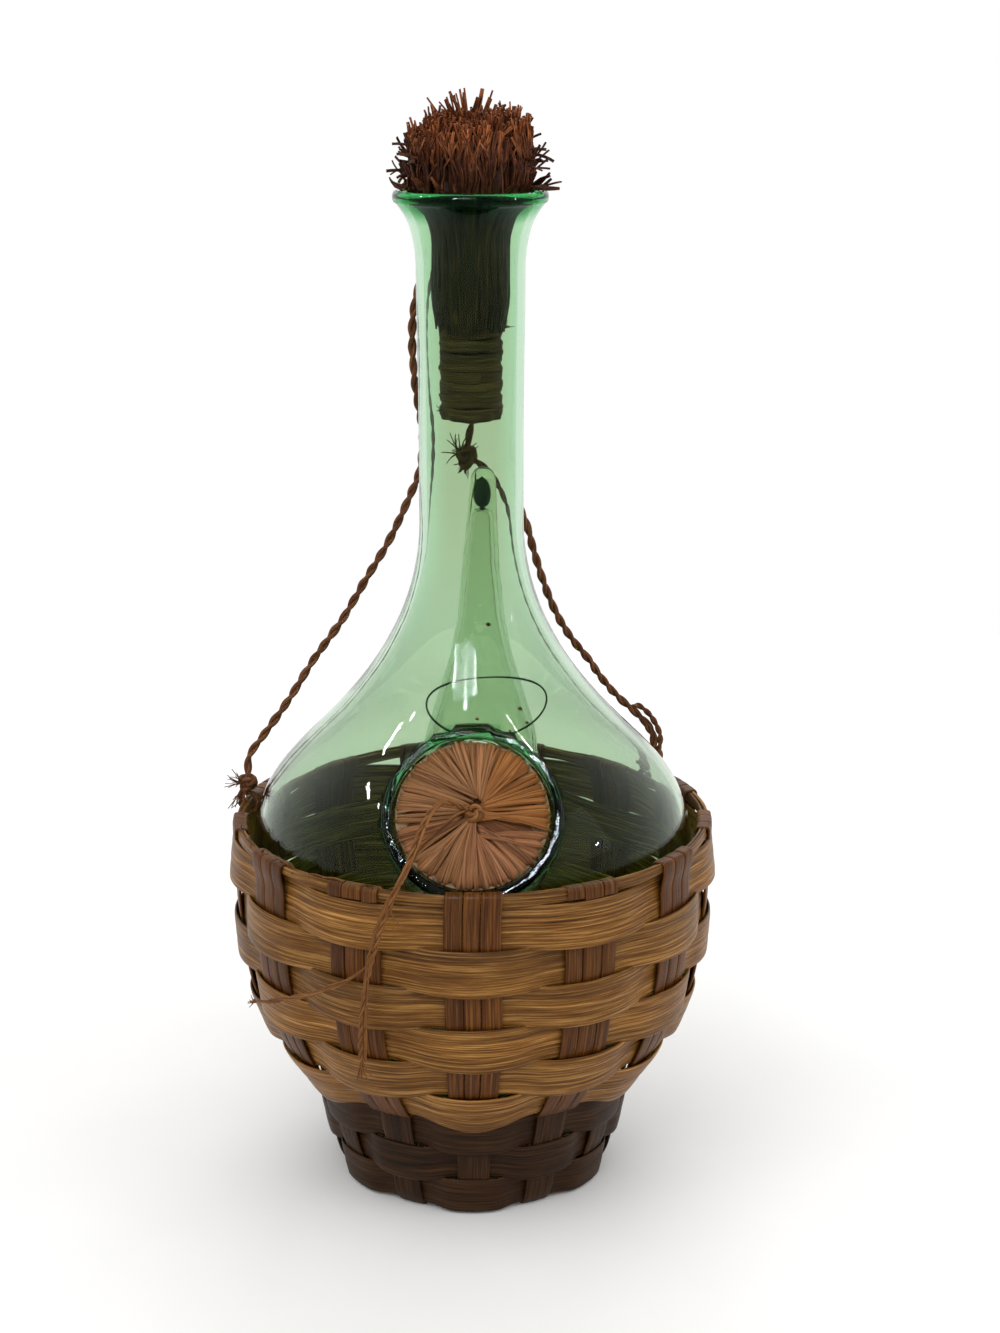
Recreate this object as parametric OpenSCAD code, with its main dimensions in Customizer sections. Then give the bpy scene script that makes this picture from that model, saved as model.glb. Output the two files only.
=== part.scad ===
// Blown green glass wine decanter with an ice pocket, standing in a woven splint basket.
// Millimetres. The foot stands on z = 0, +Z is up and the pocket's mouth faces -Y.

/* [Bottle] */
// Outer radius of the glass at its widest
belly_r = 76.9; // [74:0.1:77.2]
// Height of the lip's top
lip_z = 340; // [336:1:360]
// Outer radius of the neck
neck_r = 17.5; // [17:0.1:18.2]
// Outer radius of the lip
lip_r = 25.4; // [24.5:0.1:28]
// Thickness of the glass
wall = 2.6; // [2.4:0.1:2.9]
// Height of the push-up in the bottle's bottom
punt_h = 12; // [6:1:20]

/* [Ice pocket] */
// Inner radius of the pocket's mouth
mouth_r = 26.4; // [26.2:0.1:27]
// How far the mouth's axis rises above level, in degrees
mouth_tilt = 36; // [34:1:38]
// Height of the mouth's centre
mouth_z = 148.7; // [148:0.1:149.4]
// Distance from the bottle's axis to the mouth's centre
mouth_y = 59.6; // [59.2:0.1:60.4]
// Thickness of the pocket's wall
pocket_wall = 2.2; // [2:0.1:2.4]
// Height of the horn's tip
horn_tip_z = 251; // [246:1:256]
// Length of the solid glass in the horn's tip
horn_solid = 12; // [9:1:20]

/* [Basket] */
// Distance from the glass at its widest to the weave's middle surface
weave_gap = 4.6; // [4.4:0.1:6]
// Height of the lowest body row's bottom edge
body_z0 = 41; // [41:0.1:42]
// Height of the highest body row's top edge
body_z1 = 124; // [122:0.5:125]
// Radius of the foot's middle surface at the table
foot_r = 46.4; // [44:0.1:50]
// Height of the foot's top edge
foot_top = 39.3; // [37:0.1:39.5]
// Thickness of a weaver
weaver_t = 1.2; // [0.9:0.1:1.3]
// Thickness of a stake
stake_t = 1.1; // [0.8:0.1:1.2]
// Width of a stake at the rim
stake_w = 18.6; // [16:0.2:20]
// Width of a stake's splints at the foot
foot_stake_w = 15.6; // [14:0.2:16.4]
// Gap between two rows of weaving
row_gap = 1.1; // [0.8:0.1:2]
// Width of a splint of the basket's bottom
mat_w = 9.6; // [8:0.2:10.2]

/* [Neck stopper] */
// Height of the stopper's lower end
stopper_z0 = 267; // [262:1:280]
// Radius of the cork inside the binding
cork_r = 9; // [8:0.1:9.4]
// Diameter of the binding's strand
binding_d = 1.7; // [1.4:0.1:1.7]
// Turns of the binding
binding_turns = 12; // [8:1:12]
// Outer radius of the fibre sheath
sheath_r = 13; // [12.4:0.1:13.6]
// Strands in the tuft
tuft_count = 340; // [300:10:400]
// Height of the tuft's trimmed top above the lip
tuft_h = 21.5; // [16:0.5:26]

/* [Ice plug] */
// Clearance between the plug and the mouth
plug_gap = 0.8; // [0.5:0.1:1.2]
// Depth of the plug
plug_depth = 15; // [10:1:20]
// Pleats in the plug's cover
pleats = 26; // [16:1:32]

/* [Sling] */
// Diameter of the sling's cord
cord_d = 3; // [2.4:0.1:3.2]
// Diameter of the plug's raffia tail
tail_d = 2; // [1.6:0.1:2.4]

/* [Hidden] */
stakes = 13;
body_rows = 6;
foot_rows = 3;
$fn = 96;

glass_green = [0.55, 0.78, 0.62, 0.55];
splint_brown = [0.58, 0.4, 0.2];
weaver_brown = [0.62, 0.43, 0.22];
foot_brown = [0.36, 0.24, 0.15];
raffia_pink = [0.68, 0.48, 0.36];
raffia_olive = [0.38, 0.3, 0.14];
tuft_brown = [0.42, 0.24, 0.13];
cord_brown = [0.38, 0.23, 0.15];

// ---- small helpers ----
function clamped(t) = max(0, min(1, t));
function smooth(t) = let(u = clamped(t)) u * u * (3 - 2 * u);
function flattened(c) = c * (1.5 - 0.5 * c * c);
function unit(v) = v / norm(v);
function bezier(p, t) = p[0] * pow(1 - t, 3) + p[1] * 3 * t * pow(1 - t, 2)
    + p[2] * 3 * t * t * (1 - t) + p[3] * pow(t, 3);
// Points along a bezier without its first one
function bezier_points(p, n) = [for (i = [1:n]) bezier(p, i / n)];

// A solid through a list of sections that all have the same number of corners, which
// run clockwise where the section is seen from the next one
module swept(sections) {
    n = len(sections[0]);
    m = len(sections);
    sides = [for (i = [0:m - 2], j = [0:n - 1])
        let(a = i * n + j, b = i * n + (j + 1) % n)
        each [[a, b, b + n], [a, b + n, a + n]]];
    start = [for (j = [1:n - 2]) [0, j + 1, j]];
    end = [for (j = [1:n - 2]) [(m - 1) * n, (m - 1) * n + j, (m - 1) * n + j + 1]];
    polyhedron([for (s = sections) each s], concat(start, sides, end));
}

// ---- heights, from the table up ----
// The body stakes' ends lie on the foot, the basket's bottom on them, the bottle on it
shelf_z = foot_top + stake_t / 2;
mat_t = 0.9;
mat_wave = mat_t / 2 + 0.04;
mat_z = shelf_z + stake_t / 2 + mat_wave + mat_t / 2;
glass_rest_z = mat_z + mat_wave + mat_t / 2;

// ---- glass ----
curve_steps = 9;
belly_z = 102;
shoulder_r = 56;
shoulder_z = 157.5;
neck_z = 232;
flare_z = lip_z - 22;
rest_r = 36;

// The outer outline from the middle of the push-up to the lip's outer edge
body_outline = concat(
    [[0, glass_rest_z + punt_h]],
    bezier_points([[0, glass_rest_z + punt_h], [14, glass_rest_z + punt_h],
        [rest_r - 10, glass_rest_z], [rest_r, glass_rest_z]], curve_steps),
    bezier_points([[rest_r, glass_rest_z], [belly_r - 11, glass_rest_z],
        [belly_r, glass_rest_z + 20], [belly_r, belly_z]], curve_steps),
    bezier_points([[belly_r, belly_z], [belly_r, belly_z + 30],
        [belly_r - 3, shoulder_z - 17.5], [shoulder_r, shoulder_z]], curve_steps),
    bezier_points([[shoulder_r, shoulder_z], [shoulder_r - 19, shoulder_z + 18.5],
        [neck_r + 0.4, shoulder_z + 42], [neck_r, neck_z]], curve_steps));
neck_outline = concat(
    [[neck_r, neck_z + 30]],
    [[neck_r + 0.5, flare_z]],
    bezier_points([[neck_r + 0.5, flare_z], [neck_r + 1.1, flare_z + 10],
        [neck_r + 3.2, lip_z - 7], [lip_r - 0.9, lip_z - 2.7]], curve_steps));
outline = concat(body_outline, neck_outline);
neck_start = len(body_outline) - 1;
shoulder_start = neck_start - 6;
last = len(outline) - 1;

// Direction from a point of the outline into the glass
function inward(i) = i == 0 ? [0, 1]
    : i == neck_start ? [-1, 0]
    : let(d = unit(outline[min(i + 1, last)] - outline[i - 1])) [-d[1], d[0]];
inner_outline = [for (i = [0:last]) outline[i] + wall * inward(i)];
lip_edge = lip_r - wall / 2;

// The bottle's own radius inside, at a height above the belly
function inside_r(z) = lookup(z, [for (i = [neck_start - 2 * curve_steps:last])
    [inner_outline[i][1], inner_outline[i][0]]]);

// The glass between two points of the outline
module blown(from, to, lip = []) rotate_extrude() polygon(concat(
    [for (i = [from:to]) outline[i]], lip, [for (i = [to:-1:from]) inner_outline[i]]));

module bottle_body() {
    color(glass_green) difference() {
        blown(0, shoulder_start);
        mouth_form(0);
        horn_form(0);
        at_mouth() translate([0, 0, -0.8]) cylinder(r = mouth_r + pocket_wall + 0.03, h = mouth_depth);
    }
}

module bottle_shoulder() color(glass_green) blown(shoulder_start, neck_start);

module bottle_neck() color(glass_green) blown(neck_start, last,
    [[lip_r, lip_z - 1.6], [lip_r - 0.4, lip_z - 0.5], [lip_edge, lip_z], [lip_r - wall + 0.3, lip_z - 0.6]]);

// ---- ice pocket ----
mouth_depth = 17;
horn_start = mouth_z + 24.3;
horn_x = 3;
horn_gap = 6.8;
horn_tip_r = 4.3;
// Radii of the balls that the horn is drawn over, each with its height under the tip
horn_balls = [[18.4, 89.5], [10.8, 65.5], [8, 52], [6.2, 33]];
// The horn's middle line from the bowl to the tip, as points with their radius. It
// keeps its gap to the glass in front of it.
horn_line = concat(
    [[[0, -27, 135], 22.4]],
    [for (b = horn_balls) let(z = horn_tip_z - b[1])
        [[horn_x, -max(0, inside_r(z) - b[0] - horn_gap), z], b[0]]],
    [[[horn_x + 1, 0, horn_tip_z - horn_tip_r], horn_tip_r]]);

// Moves a child from the pocket's own frame, +Z out of the mouth, into the bottle
module at_mouth() translate([0, -mouth_y, mouth_z]) rotate([90 - mouth_tilt, 0, 0]) children();

// Two balls and the cone that touches both
module horn_part(a, ra, b, rb) {
    v = b - a;
    l = norm(v);
    s = (ra - rb) / l;
    c = sqrt(1 - s * s);
    translate(a) rotate([0, acos(v[2] / l), atan2(v[1], v[0])])
        rotate_extrude() polygon(concat(
            [for (t = [0:6]) let(g = -90 + t * (asin(s) + 90) / 6) [ra * cos(g), ra * sin(g)]],
            [for (t = [0:6]) let(g = asin(s) + t * (90 - asin(s)) / 6)
                [rb * cos(g), l + rb * sin(g)]]));
}

// The outside of the mouth's bowl, or its inside when shrunk by the wall
module mouth_form(shrink) {
    r = mouth_r + pocket_wall - shrink;
    at_mouth() rotate_extrude() polygon(concat(
        [for (t = [0:9]) let(g = -90 + t * 10) [r * cos(g), -mouth_depth + r * sin(g)]],
        shrink > 0 ? [[r, 4], [0, 4]] : [[r, 0], [r - 0.4, 0.7], [r - 1.1, 1],
            [r - pocket_wall + 0.4, 0.7], [r - pocket_wall, 0], [0, 0]]));
}

// The outside of the horn, or its inside when shrunk by the wall
module horn_form(shrink) {
    n = len(horn_line) - 1;
    way = horn_line[n][0] - horn_line[n - 1][0];
    share = horn_solid / norm(way);
    end = shrink > 0
        ? [horn_line[n][0] - way * share, horn_tip_r + (horn_line[n - 1][1] - horn_tip_r) * share]
        : horn_line[n];
    for (i = [0:n - 1]) {
        next = i < n - 1 ? horn_line[i + 1] : end;
        horn_part(horn_line[i][0], horn_line[i][1] - shrink, next[0], next[1] - shrink);
    }
}

// Everything above or below the height where the horn leaves the bowl
module horn_half(side) translate([0, 0, side > 0 ? horn_start : horn_start - 200])
    cylinder(r = 120, h = 200, $fn = 24);

module ice_pocket() {
    color(glass_green) difference() {
        union() {
            mouth_form(0);
            horn_form(0);
        }
        mouth_form(pocket_wall);
        horn_form(pocket_wall);
        horn_half(1);
    }
}

module ice_horn() {
    color(glass_green) difference() {
        horn_form(0);
        horn_form(pocket_wall);
        horn_half(-1);
    }
}

// ---- weave ----
// Stakes are numbered from 0 at the front. A weaver passes outside the even ones on
// even rows. It climbs one row behind the basket, since an odd number of stakes
// makes one long weaver pass each stake on the other side at its next turn.
stake_step = 360 / stakes;
stake_out = 0.5;
climb_from = 5;
climb_to = 8;
climb_slack = 0.9;
front = -90;
weave_r = belly_r + weave_gap;

body_pitch = (body_z1 - body_z0) / body_rows;
foot_z0 = stake_t + 0.3;
foot_pitch = (foot_top - foot_z0) / foot_rows;

function barrel_r(z) = weave_r - 0.0031 * pow(z - 108, 2);
function body_r(z) = barrel_r(z) - 7.5 * (1 - smooth((z - 36) / 28));
function foot_mid_r(z) = foot_r + 0.27 * z;

// Middle surface of a band, as a chain of straight rows; row 0 starts at the bottom
function band_point(band, k) = band == "body"
    ? let(z = body_z0 + k * body_pitch) [body_r(z), z]
    : let(z = foot_z0 + k * foot_pitch) [foot_mid_r(z), z];
function band_rows(band) = band == "body" ? body_rows : foot_rows;
function on_band(band, k) = let(i = max(0, min(band_rows(band) - 1, floor(k))),
    a = band_point(band, i), b = band_point(band, i + 1)) a + (b - a) * (k - i);
function band_normal(band, k) = let(i = max(0, min(band_rows(band) - 1, floor(k))),
    d = unit(band_point(band, i + 1) - band_point(band, i))) [d[1], -d[0]];
function band_pitch(band) = band == "body" ? body_pitch : foot_pitch;
function placed(p, angle) = [p[0] * cos(angle), p[0] * sin(angle), p[1]];

function climb(u) = u > climb_from ? smooth((u - climb_from) / (climb_to - climb_from))
    : u < -climb_from ? -smooth((-u - climb_from) / (climb_to - climb_from)) : 0;
function in_climb(u) = smooth(2 * (abs(u) - climb_from + 0.5));

// How far a weaver stands off the middle surface at stake place u
function weaver_offset(band, u, k) = let(c = cos(180 * (u + k)),
    slack = (band == "body" ? climb_slack * max(0, 1 - k / 3) : 0.3) * in_climb(u))
    (weaver_out(band) + slack) * flattened(flattened(c)) + weaver_bulge(band) * max(0, c) * max(0, c);
function weaver_out(band) = band == "body" ? 1.3 : 1.65;
function weaver_bulge(band) = band == "body" ? 1 : 0.5;

module weaver(band, k) {
    rows = band_rows(band);
    half = (band == "body" ? stake_w * 0.5 : foot_stake_w * 0.5 + 0.4);
    g = row_gap / 2 / band_pitch(band);
    reach = half / (on_band(band, k + 0.5)[0] * stake_step * PI / 180);
    from = k == 0 ? -climb_to + 1 : (k % 2 == 0 ? -stakes / 2 - 0.5 : -stakes / 2 + 0.5);
    to = k % 2 == 0 ? stakes / 2 + 0.5 : stakes / 2 - 0.5;
    places = concat([from + 0.02], [for (s = [from:to], e = [-reach, -reach / 2, 0, reach / 2, reach])
        if (s + e > from + 0.1 && s + e < to - 0.1) s + e], [to - 0.02]);
    swept([for (u = places)
        let(row = k + climb(u), lo = max(row, 0) + g, hi = min(row + 1, rows) - g,
            off = weaver_offset(band, u, k), n = band_normal(band, (lo + hi) / 2),
            a = on_band(band, lo) + n * off, b = on_band(band, hi) + n * off,
            t = n * weaver_t / 2, angle = front + u * stake_step)
        [placed(a - t, angle), placed(a + t, angle), placed(b + t, angle), placed(b - t, angle)]]);
}

// A flat strip whose middle line is a list of [radius, height] points at one angle
function strip_sections(line, widths, t, angle) = [for (i = [0:len(line) - 1])
    let(p = line[i], q0 = line[max(i - 1, 0)], q1 = line[min(i + 1, len(line) - 1)],
        a = i == 0 ? unit(q1 - p) : unit(p - q0), b = i == len(line) - 1 ? a : unit(q1 - p),
        m = unit(a + b), miter = 1 / max(0.5, m * a), n = [m[1], -m[0]] * t / 2 * miter,
        along = [cos(angle), sin(angle)], side = [-sin(angle), cos(angle)] * widths[i] / 2)
    [for (c = [[1, 1], [1, -1], [-1, -1], [-1, 1]])
        let(r = p + n * c[0], xy = along * r[0] + side * c[1]) [xy[0], xy[1], r[1]]]];

// How far a stake stands off the middle surface, against the weaver of each row
function stake_offset(u, k) = -stake_out * cos(180 * (u + k - 0.5 - climb(u)));

reed_h = 3.2;
reed_t = 2.4;
reed_z = body_z1 + 1.9;
fold_off = reed_t / 2 + stake_t / 2 + 0.15;
fold_in = fold_off + stake_w * stake_w / weave_r / 8 + 0.05;
function fold(s) = s > 0 ? fold_off : -fold_in;
shelf_r = 48;

module stake(i) {
    u = i > (stakes - 1) / 2 ? i - stakes : i;
    outside = u % 2 == 0 ? 1 : -1;
    rim = on_band("body", body_rows);
    top = reed_z + reed_h + stake_t / 2 + 0.1;
    tail_z = outside > 0 ? body_z1 - 0.75 * body_pitch : reed_z - 0.9;
    short = u == 0;
    tail_in = outside > 0 ? -weaver_out("body") - weaver_t / 2 - stake_t / 2 - 0.8 : fold_off;
    body_line = [for (k = [0:body_rows - 1], q = [0, 0.3, 0.7])
        on_band("body", k + q) + band_normal("body", k + q) * stake_offset(u, k + q)];
    line = concat(
        [[shelf_r, shelf_z], [body_line[0][0] - 3, shelf_z], [body_line[0][0] - 0.6, shelf_z + 0.6]],
        [for (j = [1:len(body_line) - 1]) body_line[j]],
        [[rim[0] + fold(outside) * 0.9, body_z1 + 0.4],
         [rim[0] + fold(outside), reed_z + 0.3],
         [rim[0] + fold(outside), reed_z + reed_h - 0.5],
         [rim[0] + fold(outside) * 0.6, top],
         [rim[0] + fold(-outside) * 0.6, top],
         [rim[0] + fold(-outside), reed_z + reed_h - 0.5]],
        short ? [] : outside > 0
            ? [[rim[0] + tail_in * 0.85, body_z1 + 0.9], [rim[0] + tail_in, body_z1 - 2],
               [rim[0] + tail_in + 0.2, tail_z]]
            : [[rim[0] + tail_in, tail_z]]);
    widths = [for (p = line) stake_w - 3.2 * (1 - smooth((p[1] - body_z0) / 45))];
    color(splint_brown) swept(strip_sections(line, widths, stake_t, front + u * stake_step));
}

module foot_stake(i) {
    u = i > (stakes - 1) / 2 ? i - stakes : i;
    foot_line = [for (k = [0:foot_rows - 1], q = [0.3, 0.7])
        on_band("foot", k + q) + band_normal("foot", k + q) * stake_offset(u, k + q)];
    line = concat(
        [[foot_r - 9, stake_t / 2], [foot_r - 1.6, stake_t / 2], [foot_r - 0.2, stake_t / 2 + 1.2]],
        foot_line,
        [[on_band("foot", foot_rows)[0], foot_top - 0.2]]);
    widths = [for (p = line) foot_stake_w - 1.2 * (1 - p[1] / foot_top)];
    color(foot_brown) swept(strip_sections(line, widths, stake_t, front + u * stake_step));
}

module body_row(k) color(weaver_brown) weaver("body", k);
module foot_row(k) color(foot_brown) weaver("foot", k);

module rim_reed() {
    r = on_band("body", body_rows)[0];
    color(splint_brown) rotate_extrude() translate([r - reed_t / 2, reed_z]) union() {
        translate([0.6, 0]) square([reed_t - 1.2, reed_h]);
        translate([0, 0.6]) square([reed_t, reed_h - 1.2]);
    }
}

// The basket's bottom: plain weave, cut round, on which the bottle rests
mat_count = 7;
mat_pitch = 13;
mat_r = 53;

module bottom_splints(phase, turn) {
    color(splint_brown) rotate([0, 0, turn]) for (i = [0:mat_count - 1]) {
        y = (i - (mat_count - 1) / 2) * mat_pitch;
        edge = abs(y) + mat_w / 2;
        half = edge < mat_r - 4 ? sqrt(mat_r * mat_r - edge * edge) : 0;
        flat = mat_w / 2 + 0.4;
        steps = [for (s = [-mat_count:mat_count], e = [-flat, flat]) [s * mat_pitch + e, s]];
        line = concat([for (p = steps) if (abs(p[0]) < half - 1) p]);
        ends = [[-half, line[0][1]], each line, [half, line[len(line) - 1][1]]];
        if (half > 0) swept([for (p = ends)
            let(x = p[0], z = mat_z + mat_wave * cos(180 * (p[1] + i + phase)))
            [[x, y - mat_w / 2, z + mat_t / 2], [x, y + mat_w / 2, z + mat_t / 2],
             [x, y + mat_w / 2, z - mat_t / 2], [x, y - mat_w / 2, z - mat_t / 2]]]);
    }
}

module bottom_splints_across() bottom_splints(0, 0);
module bottom_splints_along() bottom_splints(1, 90);

// ---- sling ----
left_tie_angle = 168.5;
right_tie_angle = 34.6;
tie_r = 0.8;
tie_ring_r = 3.1;
end_r = 3.2;
anchor_r = on_band("body", body_rows)[0] + 0.5;
anchor_z = reed_z + reed_h / 2 + tie_ring_r + tie_r + end_r - 0.15;
left_anchor = placed([anchor_r, anchor_z], left_tie_angle);
right_anchor = placed([anchor_r, anchor_z], right_tie_angle);

module rim_tie(angle) {
    color(cord_brown) rotate([0, 0, angle])
        translate([on_band("body", body_rows)[0], 0, reed_z + reed_h / 2])
        rotate([90, 0, 0]) rotate_extrude() translate([tie_ring_r, 0]) circle(r = tie_r);
}
module rim_tie_left() rim_tie(left_tie_angle);
module rim_tie_right() rim_tie(right_tie_angle);

left_points = [[-79, 20.5, 143], [-74, 22.5, 150], [-65, 24, 162.5], [-56, 24, 177],
    [-45.5, 23, 192], [-37, 22, 206.5], [-28.5, 21, 221], [-22, 19.5, 235], [-17.5, 15.5, 247],
    [-16.5, 14.5, 260], [-18.5, 10.5, 274], [-19.5, 8.5, 288], [-19, 10, 301], [-16, 15, 312],
    [-10, 19.5, 319], [-2, 22, 321], [5, 22, 316], [8, 21, 303], [7, 21, 288], [4, 21.5, 273],
    [0, 22, 261], [-2, 22, 252.5]];
right_points = [[66, 48, 143], [62, 48.5, 148], [53, 46, 157], [46.5, 42, 165.5], [42, 38, 173],
    [35.5, 34, 182], [30.5, 30, 191], [26, 26.5, 202], [22, 23.5, 215], [18, 21, 229],
    [12, 21, 239], [5.5, 22, 246], [0.5, 22, 249.4]];
tail_points = [[-2, -62, 151], [-5, -64, 153.5], [-9.5, -66.5, 155], [-13.5, -69, 152.5], [-17, -73, 147],
    [-20, -79, 140], [-23, -83, 133.5], [-26, -84.8, 127.5], [-28.5, -85.3, 121], [-31, -85.2, 113],
    [-33, -84.6, 105], [-34.5, -83.8, 97], [-35.5, -82.6, 89], [-36, -80.8, 80], [-36, -78.5, 71.5]];

function tangent(points, i) = unit(points[min(i + 1, len(points) - 1)] - points[max(i - 1, 0)]);
function across(a, t) = unit(a - t * (a * t));
// One direction across the cord at each point, carried along without twist
function carried(points, start) = [for (i = 0, a = across(start, tangent(points, 0));
    i < len(points); i = i + 1, a = across(a, tangent(points, min(i, len(points) - 1)))) a];
module cord(points, d, start = [0, 1, 0], sides = 8) {
    sideways = carried(points, start);
    swept([for (i = [0:len(points) - 1])
        let(a = sideways[i], b = cross(tangent(points, i), a))
        [for (s = [0:sides - 1]) let(g = -s * 360 / sides)
            points[i] + (a * cos(g) + b * sin(g)) * d / 2]]);
}

module sling_left() color(cord_brown)
    cord(concat([left_anchor + unit(left_points[0] - left_anchor) * end_r * 0.8], left_points), cord_d);
module sling_right() color(cord_brown)
    cord(concat([right_anchor + unit(right_points[0] - right_anchor) * end_r * 0.8], right_points), cord_d);
module sling_knot() color(cord_brown) translate([-2, 22, 250]) union() {
    sphere(r = 3.4);
    rotate([0, 35, 0]) rotate_extrude() translate([2.4, 0]) circle(r = 1.3);
}
module sling_end(p) color(cord_brown) translate(p) sphere(r = end_r);
module sling_end_left() sling_end(left_anchor);
module sling_end_right() sling_end(right_anchor);

// ---- neck stopper ----
binding_pitch = 2.25;
binding_z0 = stopper_z0 + 1.6;
sheath_z0 = binding_z0 + binding_turns * binding_pitch + 1.2;
sheath_z1 = lip_z - 10;
cork_upper_r = cork_r + 1.1;
head_z = lip_z + 1;
head_gap = 0.5;
// Widest radius of the stopper's head at a height inside the flared lip
function head_r(z) = inside_r(z) - head_gap;

module stopper_cork() {
    color(raffia_olive) rotate_extrude() polygon([[0, stopper_z0], [cork_r - 0.8, stopper_z0],
        [cork_r, stopper_z0 + 0.8], [cork_r, sheath_z0 - 0.6], [cork_upper_r, sheath_z0],
        [cork_upper_r, head_z - 3], [0, head_z - 3]]);
}

binding_r = cork_r + binding_d / 2 + 0.05;
binding_rings = 24;
binding_path = [for (i = [0:binding_turns * binding_rings])
    let(g = i * 360 / binding_rings)
    [binding_r * cos(g), binding_r * sin(g), binding_z0 + i * binding_pitch / binding_rings]];
binding_gap = min([for (i = [0:binding_rings], j = [binding_rings - 2:binding_rings + 2])
    norm(binding_path[i + j] - binding_path[i])]) - binding_d;
echo(binding_least_gap_mm = binding_gap);

module stopper_binding() {
    color(raffia_olive) cord(binding_path, binding_d, [0, 0, 1], 6);
}

// A sheath of strands that lie along the cork and flare out into the lip
sheath_strands = 26;
strand_r = 1.35;
module stopper_sheath() {
    color(raffia_olive) difference() {
        union() {
            translate([0, 0, sheath_z0]) linear_extrude(sheath_z1 - sheath_z0 + 0.5) union() {
                circle(r = sheath_r - strand_r);
                for (i = [0:sheath_strands - 1]) rotate(i * 360 / sheath_strands)
                    translate([sheath_r - strand_r, 0]) circle(r = strand_r, $fn = 16);
            }
            rotate_extrude() polygon([[cork_upper_r - 1, sheath_z1], [sheath_r - 0.05, sheath_z1],
                [head_r(lip_z - 7.5), lip_z - 7.5], [head_r(lip_z - 4.5), lip_z - 4.5],
                [head_r(lip_z - 3), lip_z - 3], [head_r(lip_z - 3), head_z - 2],
                [cork_upper_r - 1, head_z - 2]]);
        }
        translate([0, 0, sheath_z0 - 1]) cylinder(r = cork_upper_r + 0.1, h = head_z - sheath_z0 + 2);
    }
}

// Cut fibre ends that fan out of the head, trimmed flat
tuft_r = head_r(lip_z - 3) - 1.4;
tuft_spread = 1.36;
tuft_strand_r = 0.5;
golden = 137.508;
module stopper_tuft() {
    top = lip_z + tuft_h;
    color(tuft_brown) union() {
        translate([0, 0, head_z - 2]) cylinder(r = tuft_r + 0.8, h = 2);
        for (i = [0:tuft_count - 1]) {
            r = tuft_r * sqrt((i + 0.5) / tuft_count);
            g = i * golden;
            spread = 1 + (tuft_spread - 1) * (0.5 + 0.5 * pow(r / tuft_r, 2));
            tip = top - 5.5 * pow(r / tuft_r, 3) - 1.6 * (0.5 + 0.5 * sin(i * 97));
            swept([for (s = [[1, head_z - 0.5, 1], [spread, tip, 0.7]])
                [for (c = [0:2]) [r * s[0] * cos(g) + tuft_strand_r * s[2] * cos(g - c * 120),
                    r * s[0] * sin(g) + tuft_strand_r * s[2] * sin(g - c * 120), s[1]]]]);
        }
    }
}

// ---- ice plug ----
plug_r = mouth_r - plug_gap;
cover_t = 0.7;
plug_face = -0.6;
pleat_h = 0.9;

module plug_cork() {
    color(splint_brown) at_mouth() translate([0, 0, plug_face - plug_depth])
        cylinder(r1 = plug_r - cover_t - 1.3, r2 = plug_r - cover_t, h = plug_depth - cover_t - 0.1);
}

// Raffia laid in pleats from the knot over the edge and down the side
module plug_cover() {
    n = pleats * 2;
    inner = plug_r - cover_t + 0.05;
    rings = [[inner, -plug_depth * 0.6], [plug_r, -plug_depth * 0.6], [plug_r, -1.1],
        [plug_r - 1, -0.2], [plug_r * 0.6, 0], [2.2, 0.3]];
    outer_points = [for (k = [1:5], i = [0:n - 1])
        let(g = i * 360 / n, rise = i % 2 == 0 ? 0 : -pleat_h * (k == 5 ? 0.3 : k < 3 ? 0.25 : 0.55))
        k < 3 ? [(rings[k][0] + rise) * cos(g), (rings[k][0] + rise) * sin(g), rings[k][1]]
              : [rings[k][0] * cos(g), rings[k][0] * sin(g), rings[k][1] + rise]];
    color(raffia_pink) at_mouth() translate([0, 0, plug_face]) difference() {
        polyhedron(concat(outer_points, [[0, 0, 0.35], [0, 0, -plug_depth * 0.6]]), concat(
            [for (k = [0:3], i = [0:n - 1]) let(a = k * n + i, b = k * n + (i + 1) % n)
                each [[a, b + n, b], [a, a + n, b + n]]],
            [for (i = [0:n - 1]) [4 * n + i, 5 * n, 4 * n + (i + 1) % n]],
            [for (i = [0:n - 1]) [i, (i + 1) % n, 5 * n + 1]]));
        translate([0, 0, -plug_depth]) cylinder(r = inner, h = plug_depth - cover_t - 0.05);
    }
}

module plug_knot() {
    color(raffia_pink) at_mouth() translate([0, 0, plug_face + 2.1]) union() {
        sphere(r = 1.5);
        rotate([20, 10, 0]) rotate_extrude() translate([2, 0]) circle(r = 1.1);
    }
}

module plug_tail() color(raffia_pink) cord(tail_points, tail_d, [0, 0, 1]);

bottle_body();
bottle_shoulder();
bottle_neck();
ice_pocket();
ice_horn();
for (i = [1:stakes]) stake(i - 1);
for (i = [1:body_rows]) body_row(i - 1);
for (i = [1:stakes]) foot_stake(i - 1);
for (i = [1:foot_rows]) foot_row(i - 1);
rim_reed();
bottom_splints_across();
bottom_splints_along();
rim_tie_left();
rim_tie_right();
stopper_cork();
stopper_binding();
stopper_sheath();
stopper_tuft();
plug_cork();
plug_cover();
plug_knot();
plug_tail();
sling_left();
sling_right();
sling_knot();
sling_end_left();
sling_end_right();
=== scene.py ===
import random
from math import copysign, cos, floor, hypot, pi, radians, sin, sqrt

import bmesh
import bpy
from mathutils import Matrix, Vector, noise


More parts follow.
